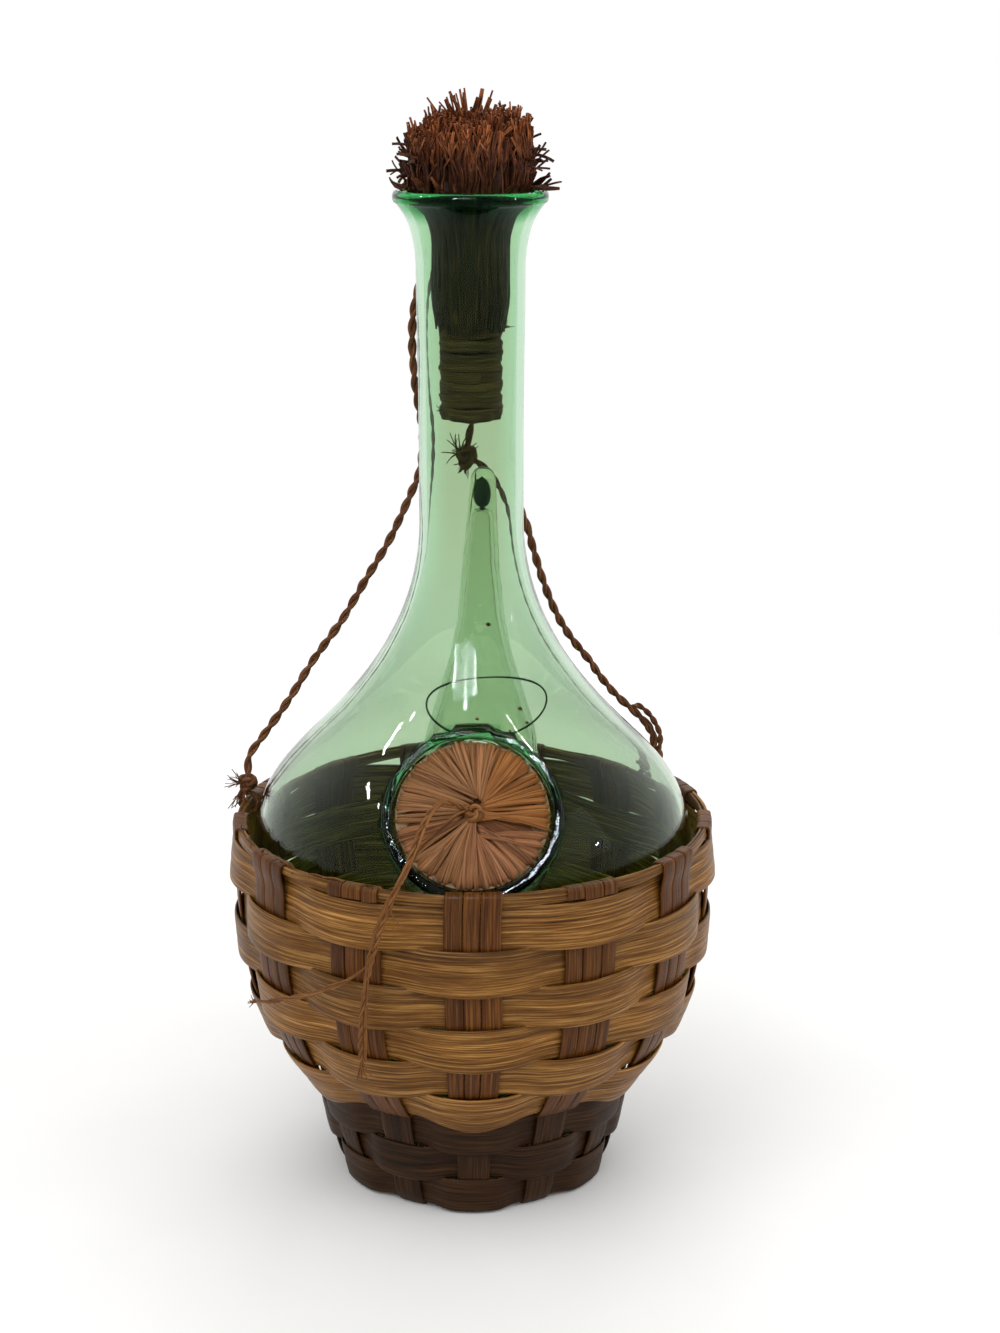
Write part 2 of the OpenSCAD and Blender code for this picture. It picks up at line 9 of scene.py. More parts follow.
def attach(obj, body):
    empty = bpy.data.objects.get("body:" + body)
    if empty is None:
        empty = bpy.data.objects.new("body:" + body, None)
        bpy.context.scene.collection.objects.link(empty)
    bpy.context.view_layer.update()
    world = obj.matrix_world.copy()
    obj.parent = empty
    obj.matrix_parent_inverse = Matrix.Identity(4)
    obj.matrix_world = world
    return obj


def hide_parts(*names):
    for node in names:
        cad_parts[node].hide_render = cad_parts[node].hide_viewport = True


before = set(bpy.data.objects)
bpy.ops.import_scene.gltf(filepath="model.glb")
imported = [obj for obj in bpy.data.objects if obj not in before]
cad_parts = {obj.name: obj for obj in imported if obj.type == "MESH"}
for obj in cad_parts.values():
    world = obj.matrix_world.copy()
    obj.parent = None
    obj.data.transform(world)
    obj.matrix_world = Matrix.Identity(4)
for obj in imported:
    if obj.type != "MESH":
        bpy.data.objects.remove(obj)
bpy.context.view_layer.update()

MM = 0.001
ROOT = "decanter"
STOPPER = "neck_stopper"
PLUG = "ice_plug"


def new_object(name, data):
    obj = bpy.data.objects.new(name, data)
    bpy.context.scene.collection.objects.link(obj)
    return obj


def polar(r, angle, z=0.0):
    return Vector((r * cos(angle), r * sin(angle), z))


def full_turn(n):
    return [2 * pi * s / n for s in range(n)]


def wobble(x, y, z):
    return noise.noise(Vector((x, y, z)))


def smoothstep(t):
    t = max(0.0, min(1.0, t))
    return t * t * (3 - 2 * t)


# ---- camera ----
CAMERA_DISTANCE = 0.7602
CAMERA_HEIGHT = 0.3931
CAMERA_DOWN = 15.57
CAMERA_YAW = -0.72
CAMERA_LENS = 62.33

camera = new_object("camera", bpy.data.cameras.new("camera"))
camera.location = (0, -CAMERA_DISTANCE, CAMERA_HEIGHT)
camera.rotation_euler = (radians(90 - CAMERA_DOWN), 0, radians(CAMERA_YAW))
camera.data.lens = CAMERA_LENS
camera.data.clip_start = 0.01
bpy.context.scene.camera = camera


# ---- mesh making ----
class Shape:
    """Collects points, faces and the grain coordinate that the materials read."""

    def __init__(self):
        self.points = []
        self.faces = []
        self.grain = []

    def loft(self, sections, grains):
        """Joins rings of points. A grain is (mm along, mm across, number of the strand)."""
        start = len(self.points)
        n = len(sections[0])
        for ring, marks in zip(sections, grains):
            self.points.extend(ring)
            self.grain.extend(marks)
        m = len(sections)
        for i in range(m - 1):
            for j in range(n):
                a, b = i * n, (i + 1) * n
                k = (j + 1) % n
                self.faces.append([start + a + j, start + a + k, start + b + k, start + b + j])
        self.faces.append([start + j for j in reversed(range(n))])
        self.faces.append([start + (m - 1) * n + j for j in range(n)])

    def piece(self, name, material, body, slot=None, *nodes, smooth=True):
        """Makes the piece, which stands for the nodes named, if any."""
        mesh = bpy.data.meshes.new(name)
        mesh.from_pydata([p * MM for p in self.points], [], self.faces)
        mesh.validate()
        marks = mesh.attributes.new("grain", "FLOAT_VECTOR", "POINT")
        marks.data.foreach_set("vector", [c for g in self.grain for c in g])
        if smooth:
            mesh.polygons.foreach_set("use_smooth", [True] * len(mesh.polygons))
        mesh.materials.append(material)
        obj = new_object(name, mesh)
        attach(obj, body)
        if nodes:
            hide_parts(*nodes)
        return obj


def spline(points, step):
    """A smooth line through the points, as points about a step apart."""
    p = [Vector(q) for q in points]
    ends = [p[0] * 2 - p[1]] + p + [p[-1] * 2 - p[-2]]
    line = [p[0]]
    for a, b, c, d in zip(ends, ends[1:], ends[2:], ends[3:]):
        n = max(1, round((c - b).length / step))
        for i in range(1, n + 1):
            t = i / n
            line.append(0.5 * (2 * b + (c - a) * t + (2 * a - 5 * b + 4 * c - d) * t * t
                               + (3 * b - a - 3 * c + d) * t ** 3))
    return line


def rounded(points):
    """A bent line with its corners cut twice, ends kept."""
    p = points
    for _ in range(2):
        q = [p[0]]
        for a, b in zip(p, p[1:]):
            q.append(a.lerp(b, 0.25))
            q.append(a.lerp(b, 0.75))
        p = q + [p[-1]]
    return p


def tangents(line):
    n = len(line) - 1
    return [(line[min(i + 1, n)] - line[max(i - 1, 0)]).normalized() for i in range(n + 1)]


def carried(line):
    """Two directions across the line at each point, carried along without twist."""
    frames = []
    a = Vector((0, 1, 0.3))
    for t in tangents(line):
        a = (a - t * a.dot(t)).normalized()
        frames.append((a, t.cross(a)))
    return frames


def travelled(line):
    s = [0.0]
    for a, b in zip(line, line[1:]):
        s.append(s[-1] + (b - a).length)
    return s


def tube(shape, line, radius, sides, mark=0.0):
    """radius is a function of the share of the way along."""
    along = travelled(line)
    turn = full_turn(sides)
    rings, grains = [], []
    for i, (p, (a, b)) in enumerate(zip(line, carried(line))):
        r = radius(along[i] / along[-1])
        rings.append([p + (a * cos(g) + b * sin(g)) * r for g in turn])
        grains.append([(along[i], r * g, mark) for g in turn])
    shape.loft(rings, grains)


def ribbon(shape, line, outward, widths, thickness, mark=0.0, crown=0.12, shift=0.0):
    """A flat strip along a line. outward gives the strip's face at each point."""
    along = travelled(line)
    edge = [(x, 0.25 if abs(x) == 0.5 else 0.5) for x in (-0.5, -0.46, -0.25, 0, 0.25, 0.46, 0.5)]
    section = [(x, y + crown * (1 - 4 * x * x)) for x, y in edge] + [(x, -y) for x, y in reversed(edge)]
    rings, grains = [], []
    for i, (p, t) in enumerate(zip(line, tangents(line))):
        n = (outward[i] - t * outward[i].dot(t)).normalized()
        side = t.cross(n)
        w = widths[i] if isinstance(widths, list) else widths
        rings.append([p + side * (x * w + shift) + n * y * thickness for x, y in section])
        grains.append([(along[i], x * w, mark) for x, y in section])
    shape.loft(rings, grains)


def twisted(shape, line, diameter, lay, mark, wild=0.0):
    """Two strands laid round each other along a line, one turn in every lay."""
    r = diameter * 0.27
    for k in range(2):
        strand = []
        for p, (a, b), s in zip(line, carried(line), travelled(line)):
            g = 2 * pi * (s / lay + k / 2)
            sway = 1 + wild * wobble(s * 0.25, k * 7.3, mark)
            strand.append(p + (a * cos(g) + b * sin(g)) * (diameter / 2 - r) * sway)
        tube(shape, strand, lambda t, k=k: r * (1 + 0.16 * wobble(t * 40, k * 3.1, mark)), 7, mark + k * 0.37)


# ---- materials ----
class Nodes:
    """A short way to write a node material. In names of sockets _ stands for a space."""

    def __init__(self, name):
        self.material = bpy.data.materials.new(name)
        self.material.use_nodes = True
        self.tree = self.material.node_tree
        self.shader = self.tree.nodes["Principled BSDF"]

    def node(self, kind, **values):
        made = self.tree.nodes.new("ShaderNode" + kind)
        for key, value in values.items():
            socket = key.replace("_", " ")
            if socket in made.inputs:
                made.inputs[socket].default_value = value
            else:
                setattr(made, key, value)
        return made

    def shade(self, **values):
        for key, value in values.items():
            self.shader.inputs[key.replace("_", " ")].default_value = value

    def link(self, output, to):
        self.tree.links.new(output, to)

    def grain(self, scale):
        """The grain coordinate, stretched by scale."""
        mark = self.node("Attribute", attribute_name="grain")
        stretch = self.node("VectorMath", operation="MULTIPLY")
        stretch.inputs[1].default_value = scale
        self.link(mark.outputs["Vector"], stretch.inputs[0])
        return stretch.outputs[0]

    def noise(self, vector, scale, detail, roughness):
        made = self.node("TexNoise", Scale=scale, Detail=detail, Roughness=roughness)
        self.link(vector, made.inputs["Vector"])
        return made.outputs["Fac"]

    def ramp(self, factor, *stops):
        made = self.node("ValToRGB")
        bar = made.color_ramp
        while len(bar.elements) < len(stops):
            bar.elements.new(0.5)
        for element, (place, colour) in zip(bar.elements, stops):
            element.position = place
            element.color = (*colour, 1)
        self.link(factor, made.inputs["Fac"])
        return made.outputs["Color"]

    def mix(self, factor, a, b, blend="MIX"):
        made = self.node("Mix", data_type="RGBA", blend_type=blend)
        for value, socket in ((factor, made.inputs[0]), (a, made.inputs[6]), (b, made.inputs[7])):
            if isinstance(value, (float, tuple)):
                socket.default_value = value if isinstance(value, float) else (*value, 1)
            else:
                self.link(value, socket)
        return made.outputs[2]

    def bump(self, height, strength, distance):
        made = self.node("Bump", Strength=strength, Distance=distance)
        self.link(height, made.inputs["Height"])
        self.link(made.outputs["Normal"], self.shader.inputs["Normal"])

    def span(self, value, low, high):
        made = self.node("MapRange", To_Min=low, To_Max=high)
        self.link(value, made.inputs["Value"])
        return made.outputs["Result"]


KIND = 1000
TINTS = ((1.0, 1.0, 1.0), (0.98, 0.84, 0.55), (1.0, 0.94, 1.02), (0.6, 0.52, 0.5))


def fibre_material(name, dark, mid, light, along, across, rough, vary=0.5, coat=0.0, tips=None):
    """Plant fibre or split wood, streaked along its length, each strand a little different.

    A strand's number is its own; every KIND added to it picks the next of the tints.
    """
    n = Nodes(name)
    parts = n.node("SeparateXYZ")
    n.link(n.grain((1, 1, 1 / KIND / len(TINTS))), parts.inputs[0])
    tint = n.ramp(parts.outputs["Z"], *[(i / len(TINTS), t) for i, t in enumerate(TINTS)])
    tint.node.color_ramp.interpolation = "CONSTANT"
    streak = n.noise(n.grain((along, across, 9.7)), 1.0, 6.0, 0.65)
    fine = n.noise(n.grain((along * 3, across * 3.5, 4.1)), 1.0, 3.0, 0.6)
    strand = n.noise(n.grain((0.004, 0.02, 31.7)), 1.0, 1.0, 0.5)
    colour = n.ramp(streak, (0.3, dark), (0.5, mid), (0.72, light))
    tone = n.ramp(strand, (0.3, tuple(1 - vary * 0.9 for _ in range(3))), (0.7, (1.0, 1.0, 1.0)))
    colour = n.mix(1.0, colour, tone, "MULTIPLY")
    fine_tone = n.ramp(fine, (0.25, (0.62, 0.58, 0.55)), (0.6, (1.0, 1.0, 1.0)))
    colour = n.mix(1.0, colour, fine_tone, "MULTIPLY")
    if tips:
        start, end, bright = tips
        near_tip = n.node("MapRange", From_Min=start, From_Max=end)
        n.link(parts.outputs["X"], near_tip.inputs["Value"])
        colour = n.mix(near_tip.outputs["Result"], colour, n.mix(1.0, colour, bright, "MULTIPLY"))
    n.link(n.mix(1.0, colour, tint, "MULTIPLY"), n.shader.inputs["Base Color"])
    n.link(n.span(streak, rough[0], rough[1]), n.shader.inputs["Roughness"])
    n.bump(n.mix(0.5, streak, fine), 0.5, 0.0006)
    n.shade(Specular_IOR_Level=0.08, Coat_Weight=coat, Coat_Roughness=0.28)
    return n.material


def glass_material():
    """Pale green glass, greener in the neck and deep green at the lip."""
    n = Nodes("blown_green_glass")
    n.shade(Roughness=0.0, IOR=1.46, Specular_Tint=(0.1, 0.11, 0.11, 1), Transmission_Weight=1.0)
    place = n.node("TexCoord")
    split = n.node("SeparateXYZ")
    n.link(place.outputs["Object"], split.inputs[0])
    high = n.node("MapRange", From_Max=0.4)
    n.link(split.outputs["Z"], high.inputs["Value"])
    lip = (0.84, (0.04, 0.42, 0.12))
    # Face on, the glass is tinted olive, a painted reflection of the room; towards its edges it is tinted
    # greener, painted light that has run a long way through the glass.
    middle = n.ramp(high.outputs["Result"], (0.36, (0.65, 0.74, 0.61)), (0.5, (0.66, 0.77, 0.62)),
                    (0.6, (0.64, 0.73, 0.57)), (0.828, (0.62, 0.73, 0.56)), lip)
    edge = n.ramp(high.outputs["Result"], (0.36, (0.66, 0.76, 0.63)), (0.5, (0.68, 0.82, 0.68)),
                  (0.6, (0.68, 0.87, 0.72)), (0.828, (0.64, 0.87, 0.68)), lip)
    facing = n.node("LayerWeight", Blend=0.5).outputs["Facing"]
    tint = n.mix(n.ramp(facing, (0.12, (0, 0, 0)), (0.42, (1, 1, 1))), middle, edge)
    paler = n.ramp(high.outputs["Result"], (0.4, (0.79, 0.85, 0.74)), (0.6, (0.76, 0.82, 0.7)))
    for name, other in (("pocket", paler), ("mouth", (0.05, 0.4, 0.13))):
        tint = n.mix(n.node("Attribute", attribute_name=name).outputs["Fac"], tint, other)
    n.link(tint, n.shader.inputs["Base Color"])
    wave = n.noise(place.outputs["Object"], 22.0, 2.0, 0.4)
    n.bump(wave, 0.12, 0.004)
    absorb = n.node("VolumeAbsorption", Density=30.0, Color=(0.3, 0.74, 0.4, 1))
    out = n.tree.nodes["Material Output"]
    n.link(absorb.outputs["Volume"], out.inputs["Volume"])
    path = n.node("LightPath")
    clear = n.node("BsdfTransparent", Color=(0.8, 0.9, 0.82, 1))
    either = n.node("MixShader")
    n.link(path.outputs["Is Shadow Ray"], either.inputs[0])
    n.link(n.shader.outputs[0], either.inputs[1])
    n.link(clear.outputs[0], either.inputs[2])
    n.link(either.outputs[0], out.inputs["Surface"])
    return n.material


GLASS = glass_material()
WEAVER_WOOD = fibre_material("weaver_splint", (0.035, 0.011, 0.002), (0.215, 0.086, 0.013),
                             (0.62, 0.34, 0.1), along=0.035, across=1.5, rough=(0.3, 0.5), coat=0.1)
STAKE_WOOD = fibre_material("stake_splint", (0.028, 0.008, 0.001), (0.11, 0.034, 0.004),
                            (0.25, 0.1, 0.018), along=0.035, across=1.6, rough=(0.3, 0.5), coat=0.1)
# the foot's splints are coloured much darker than the body's, painted shade under the overhanging body
FOOT_WOOD_PAINTED_SHADE = fibre_material("foot_splint", (0.008, 0.003, 0.001), (0.038, 0.015, 0.004),
                           (0.105, 0.048, 0.015), along=0.035, across=1.5, rough=(0.35, 0.55), coat=0.05)
RAFFIA = fibre_material("plug_raffia", (0.07, 0.024, 0.009), (0.29, 0.128, 0.048), (0.5, 0.265, 0.125),
                        along=0.04, across=1.8, rough=(0.45, 0.7), vary=0.5)
TAIL_RAFFIA = fibre_material("tail_raffia", (0.07, 0.024, 0.007), (0.22, 0.09, 0.026),
                             (0.42, 0.2, 0.075), along=0.05, across=2.0, rough=(0.45, 0.7), vary=0.4)
OLIVE = fibre_material("binding_raffia", (0.014, 0.007, 0.001), (0.05, 0.026, 0.005),
                       (0.17, 0.1, 0.024), along=0.05, across=2.4, rough=(0.45, 0.7), vary=0.5)
SHEATH = fibre_material("sheath_fibre", (0.006, 0.004, 0.001), (0.022, 0.013, 0.003),
                        (0.13, 0.078, 0.02), along=0.06, across=2.0, rough=(0.5, 0.7), vary=0.7)
TUFT = fibre_material("tuft_fibre", (0.012, 0.003, 0.002), (0.07, 0.019, 0.007), (0.3, 0.11, 0.04),
                      along=0.12, across=3.0, rough=(0.4, 0.6), vary=0.85, tips=(11, 23, (3.2, 3.1, 2.6)))
CORD = fibre_material("sling_cord", (0.025, 0.008, 0.004), (0.155, 0.056, 0.022), (0.34, 0.16, 0.07),
                      along=0.1, across=3.0, rough=(0.4, 0.65), vary=0.35)


def cork_material():
    """Cork, with pores and darker flecks, from the object's own coordinates."""
    n = Nodes("cork")
    place = n.node("TexCoord").outputs["Object"]
    coarse = n.noise(place, 260.0, 4.0, 0.6)
    pores = n.noise(place, 900.0, 2.0, 0.5)
    colour = n.ramp(coarse, (0.3, (0.09, 0.045, 0.018)), (0.5, (0.25, 0.14, 0.065)),
                    (0.7, (0.38, 0.24, 0.12)))
    flecks = n.ramp(pores, (0.34, (0.3, 0.22, 0.18)), (0.46, (1.0, 1.0, 1.0)))
    n.link(n.mix(1.0, colour, flecks, "MULTIPLY"), n.shader.inputs["Base Color"])
    n.link(n.span(coarse, 0.7, 0.9), n.shader.inputs["Roughness"])
    n.bump(n.mix(0.5, coarse, pores), 0.4, 0.0005)
    return n.material


def dark_glass_material():
    """Nearly black glass, of the pocket's seam and of the dark spindle in the horn's tip, which paints the
    dark refraction seen in the solid tip.
    """
    n = Nodes("dark_green_glass")
    place = n.node("TexCoord").outputs["Object"]
    cloud = n.noise(place, 160.0, 3.0, 0.5)
    colour = n.ramp(cloud, (0.35, (0.004, 0.012, 0.006)), (0.65, (0.02, 0.045, 0.022)))
    n.link(colour, n.shader.inputs["Base Color"])
    n.link(n.span(cloud, 0.05, 0.2), n.shader.inputs["Roughness"])
    n.shade(IOR=1.46, Specular_IOR_Level=0.1)
    return n.material


CORK = cork_material()
SEAM_AND_PAINTED_REFRACTION = dark_glass_material()


# ---- cords ----
CORD_D = 3.0
CORD_LAY = 13
TAIL_D = 2.0
KNOT = Vector((-2, 22, 250))
RIM_R = 80.706
TIE_TOP = 134.45
LEFT_TIE = radians(168.5)
RIGHT_TIE = radians(34.6)


def on_rim(angle):
    return polar(RIM_R + 0.5, angle, TIE_TOP)


LEFT_END = on_rim(LEFT_TIE)
RIGHT_END = on_rim(RIGHT_TIE)
LEFT_ROUTE = [(-79, 20.5, 143), (-74, 22.5, 150), (-65, 24, 162.5), (-56, 24, 177),
              (-45.5, 23, 192), (-37, 22, 206.5), (-28.5, 21, 221), (-22, 19.5, 235),
              (-17.5, 15.5, 247), (-16.5, 14.5, 260), (-18.5, 10.5, 274), (-19.5, 8.5, 288),
              (-19, 10, 301), (-16, 15, 312), (-10, 19.5, 319), (-2, 22, 321), (5, 22, 316),
              (8, 21, 303), (7, 21, 288), (4, 21.5, 273), (0, 22, 261), (-2, 22, 252.5)]
RIGHT_ROUTE = [(66, 48, 143), (62, 48.5, 148), (53, 46, 157), (46.5, 42, 165.5), (42, 38, 173),
               (35.5, 34, 182), (30.5, 30, 191), (26, 26.5, 202), (22, 23.5, 215),
               (18, 21, 229), (12, 21, 239), (5.5, 22, 246), (0.5, 22, 249.4)]
TAIL_ROUTE = [(-2, -62, 151), (-5, -64, 153.5), (-9.5, -66.5, 155), (-13.5, -69, 152.5),
              (-17, -73, 147), (-20, -79, 140), (-23, -83, 133.5), (-26, -84.8, 127.5),
              (-28.5, -85.3, 121), (-31, -85.2, 113), (-33, -84.6, 105), (-34.5, -83.8, 97),
              (-35.5, -82.6, 89), (-36, -80.8, 80), (-36, -78.5, 71.5)]
END_KNOT_R = 3.2


def from_knot(end, route):
    """The route, led out of the knot at the rim."""
    first = Vector(route[0])
    return [end + (first - end).normalized() * END_KNOT_R * 0.8] + [Vector(p) for p in route]


def fray(shape, root, way, length, count, spread, radius, seed, curl):
    """Loose fibres that leave a root in about one direction."""
    rng = random.Random(seed)
    way = way.normalized()
    for i in range(count):
        lean = Vector([rng.gauss(0, 1) for _ in range(3)]) * spread
        d = (way + lean).normalized()
        bend = Vector([rng.gauss(0, 1) for _ in range(3)]) * curl
        reach = length * rng.uniform(0.5, 1.1)
        p = root + Vector([rng.gauss(0, 0.35) for _ in range(3)])
        line = [p]
        for _ in range(5):
            p = p + d * reach / 5
            line.append(p)
            d = (d + bend * 0.2).normalized()
        tube(shape, spline(line, 3), lambda t: radius * (1 - 0.5 * t), 4, i * 0.61)


def knot(shape, centre, size, strand, turn, seed):
    """A small overhand knot: a strand that winds twice round a ring while it turns thrice."""
    rng = random.Random(seed)
    tilt = Matrix.Rotation(turn[0], 3, "X") @ Matrix.Rotation(turn[1], 3, "Z")
    line = []
    for i in range(61):
        g = 2 * pi * i / 60
        r = size * (0.56 + 0.24 * cos(3 * g))
        p = Vector((r * cos(2 * g), r * sin(2 * g), size * 0.42 * sin(3 * g)))
        line.append(centre + tilt @ p)
    tube(shape, line, lambda t: strand * (1 + 0.1 * sin(40 * t)), 8, rng.random() * 9)


def make_cord(name, node, route, diameter, twist, material, body, slot, mark, **facts):
    line = spline(route, 0.8)
    shape = Shape()
    twisted(shape, line, diameter, twist, mark, wild=0.25)
    piece = shape.piece(name, material, body)
    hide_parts(node)


def make_sling():
    shape = Shape()
    knot(shape, KNOT, 4.2, 1.15, (1.2, 0.4), 3)
    knot(shape, KNOT + Vector((0.8, 0.5, 1.6)), 3.2, 0.95, (0.3, 1.4), 4)
    fray(shape, KNOT + Vector((-1.5, 0, 1)), Vector((-1, -0.1, 0.7)), 8.5, 16, 0.28, 0.34, 5, 0.9)
    fray(shape, KNOT + Vector((0, 0, -1)), Vector((-0.3, 0, -1)), 6.5, 12, 0.3, 0.34, 6, 0.9)
    fray(shape, KNOT, Vector((0.2, 0.3, 1)), 7, 8, 0.35, 0.3, 7, 0.8)
    middle = shape.piece("sling_knot_frayed", CORD, ROOT, "cord", "sling_knot")

    shape = Shape()
    knot(shape, LEFT_END, 3.3, 1.05, (0.9, 0.2), 11)
    knot(shape, LEFT_END + Vector((1.2, -1.8, 1.5)), 2.6, 0.8, (0.2, 1.1), 12)
    fray(shape, LEFT_END + Vector((-1, -1, 0)), Vector((-0.75, -0.5, 0.25)), 8, 16, 0.3, 0.3, 13, 0.7)
    fray(shape, LEFT_END + Vector((-1, -1, -1)), Vector((-0.45, -0.45, -1)), 10, 14, 0.25, 0.3, 14, 0.6)
    left_end = shape.piece("sling_left_end_frayed", CORD, ROOT, "cord", "sling_end_left")

    shape = Shape()
    knot(shape, RIGHT_END, 3.3, 1.05, (0.5, 0.9), 21)
    loop = [(66, 47.5, 142), (62, 49, 147.5), (58.5, 49, 151), (60.5, 48, 153), (65, 47.2, 149.5),
            (68.5, 46.5, 143), (68.5, 46.3, 137.5), (66.8, 46.1, 134.5)]
    twisted(shape, spline(loop, 0.8), 2.3, 7.5, 2.2)
    fray(shape, RIGHT_END + Vector((0, -1, 0)), Vector((0.3, -0.5, -0.9)), 6, 8, 0.3, 0.28, 23, 0.7)
    right_end = shape.piece("sling_right_end_looped", CORD, ROOT, "cord", "sling_end_right")

    for side, end, route, mark, length, pieces in (
            ("left", LEFT_END, LEFT_ROUTE, 1.0, 0.3, [middle, left_end]),
            ("right", RIGHT_END, RIGHT_ROUTE, 2.0, 0.14, [right_end])):
        make_cord("sling_%s_rope" % side, "sling_" + side, from_knot(end, route), CORD_D, CORD_LAY, CORD,
                  ROOT, "cord", mark, length=length, far_end="knot", stiffness="medium", lay="hanging",
                  with_pieces=pieces)


def make_rim_ties():
    for name, angle in (("rim_tie_left", LEFT_TIE), ("rim_tie_right", RIGHT_TIE)):
        shape = Shape()
        out = polar(1, angle)
        side = Vector((-sin(angle), cos(angle), 0))
        for turn in range(2):
            line = []
            for i in range(41):
                g = 2 * pi * i / 40 + 1.2
                p = out * (RIM_R + 3.2 * cos(g)) + Vector((0, 0, 127.5 + 3.5 * sin(g)))
                line.append(p + side * (turn * 1.7 - 0.85 + 0.5 * sin(g / 2)))
            twisted(shape, line, 1.5, 5.0, turn * 3.3)
        shape.piece(name + "_cord", CORD, ROOT, "cord", name)


make_sling()
make_rim_ties()


# ---- glass ----
BELLY_R = 76.9
FOOT_TOP = 39.3
STAKE_T = 1.1
MAT_T = 0.9
MAT_WAVE = MAT_T / 2 + 0.04
GLASS_Z = FOOT_TOP + STAKE_T + 2 * MAT_WAVE + MAT_T
LIP_Z = 340
NECK_R = 17.5
LIP_R = 25.4
WALL = 2.6
PUNT = 12
NECK_Z = 232
POCKET_WALL = 2.2
MOUTH_R = 26.4
MOUTH = Vector((0, -59.6, 148.7))
MOUTH_TILT = 36
MOUTH_DEPTH = 17


def bezier(p, n):
    p = [Vector(q) for q in p]
    made = []
    for i in range(1, n + 1):
        t = i / n
        made.append(p[0] * (1 - t) ** 3 + p[1] * 3 * t * (1 - t) ** 2
                    + p[2] * 3 * t * t * (1 - t) + p[3] * t ** 3)
    return made


def glass_outline(n=22):
    rest = 36
    top = GLASS_Z + PUNT
    flare = LIP_Z - 22
    line = [Vector((0, top))]
    line += bezier([(0, top), (14, top), (rest - 10, GLASS_Z), (rest, GLASS_Z)], n)
    line += bezier([(rest, GLASS_Z), (BELLY_R - 11, GLASS_Z), (BELLY_R, GLASS_Z + 20),
                    (BELLY_R, 102)], n)
    line += bezier([(BELLY_R, 102), (BELLY_R, 132), (BELLY_R - 3, 140), (56, 157.5)], n)
    line += bezier([(56, 157.5), (37, 176), (NECK_R + 0.4, 199.5), (NECK_R, NECK_Z)], n)
    line += [Vector((NECK_R, z)) for z in (242, 252)]
    line += bezier([(NECK_R, 262), (NECK_R, 285), (NECK_R + 0.5, 300), (NECK_R + 0.5, flare)], 6)
    line += bezier([(NECK_R + 0.5, flare), (NECK_R + 1.1, flare + 10), (NECK_R + 3.2, LIP_Z - 7),
                    (LIP_R - 0.9, LIP_Z - 2.7)], n)
    return line


def inset(line, wall):
    made = []
    for i, p in enumerate(line):
        if i == 0:
            made.append(p + Vector((0, wall)))
            continue
        d = (line[min(i + 1, len(line) - 1)] - line[i - 1]).normalized()
        made.append(p + Vector((-d.y, d.x)) * wall)
    return made


def linked(name, bm):
    """A closed form as an object of its own, with its faces outward."""
    bmesh.ops.recalc_face_normals(bm, faces=bm.faces)
    mesh = bpy.data.meshes.new(name)
    bm.to_mesh(mesh)
    bm.free()
    return new_object(name, mesh)


def revolved(name, line, segments=192):
    """A closed form from an outline that starts and ends on the axis."""
    bm = bmesh.new()
    rings = []
    for p in line[1:-1]:
        rings.append([bm.verts.new((p.x * cos(g) * MM, p.x * sin(g) * MM, p.y * MM))
                      for g in full_turn(segments)])
    low = bm.verts.new((0, 0, line[0].y * MM))
    high = bm.verts.new((0, 0, line[-1].y * MM))
    for s in range(segments):
        k = (s + 1) % segments
        bm.faces.new((low, rings[0][k], rings[0][s]))
        bm.faces.new((high, rings[-1][s], rings[-1][k]))
        for a, b in zip(rings, rings[1:]):
            bm.faces.new((a[s], a[k], b[k], b[s]))
    return linked(name, bm)


def joined_hull(parts):
    """Convex skin over balls given as (centre, radius)."""
    ball = bmesh.new()
    bmesh.ops.create_icosphere(ball, subdivisions=4, radius=1)
    bm = bmesh.new()
    for centre, radius in parts:
        for v in ball.verts:
            bm.verts.new((Vector(centre) + v.co * radius) * MM)
    ball.free()
    made = bmesh.ops.convex_hull(bm, input=bm.verts)
    inside = [g for g in made["geom_interior"] if isinstance(g, bmesh.types.BMVert)]
    bmesh.ops.delete(bm, geom=inside, context="VERTS")
    return bm


MOUTH_TURN = Matrix.Rotation(radians(90 - MOUTH_TILT), 4, "X")
MOUTH_PLACE = Matrix.Translation(MOUTH * MM) @ MOUTH_TURN
MOUTH_OUT = (MOUTH_TURN @ Vector((0, 0, 1))).to_3d()
HORN_SOLID = 12
HORN_GAP = 6.8
HORN_X = 3
GLASS_LOW, GLASS_HIGH = 112, 250
SEAM_X, SEAM_Z = 4.7, 177.1
SEAM_WIDE, SEAM_HIGH = 19.5, 8.5


def inside_r(z):
    """The bottle's radius inside, at a height above the belly."""
    line = [p for p in inset(glass_outline(), WALL) if p.y > 110]
    for a, b in zip(line, line[1:]):
        if a.y <= z <= b.y:
            return a.x + (b.x - a.x) * (z - a.y) / (b.y - a.y)


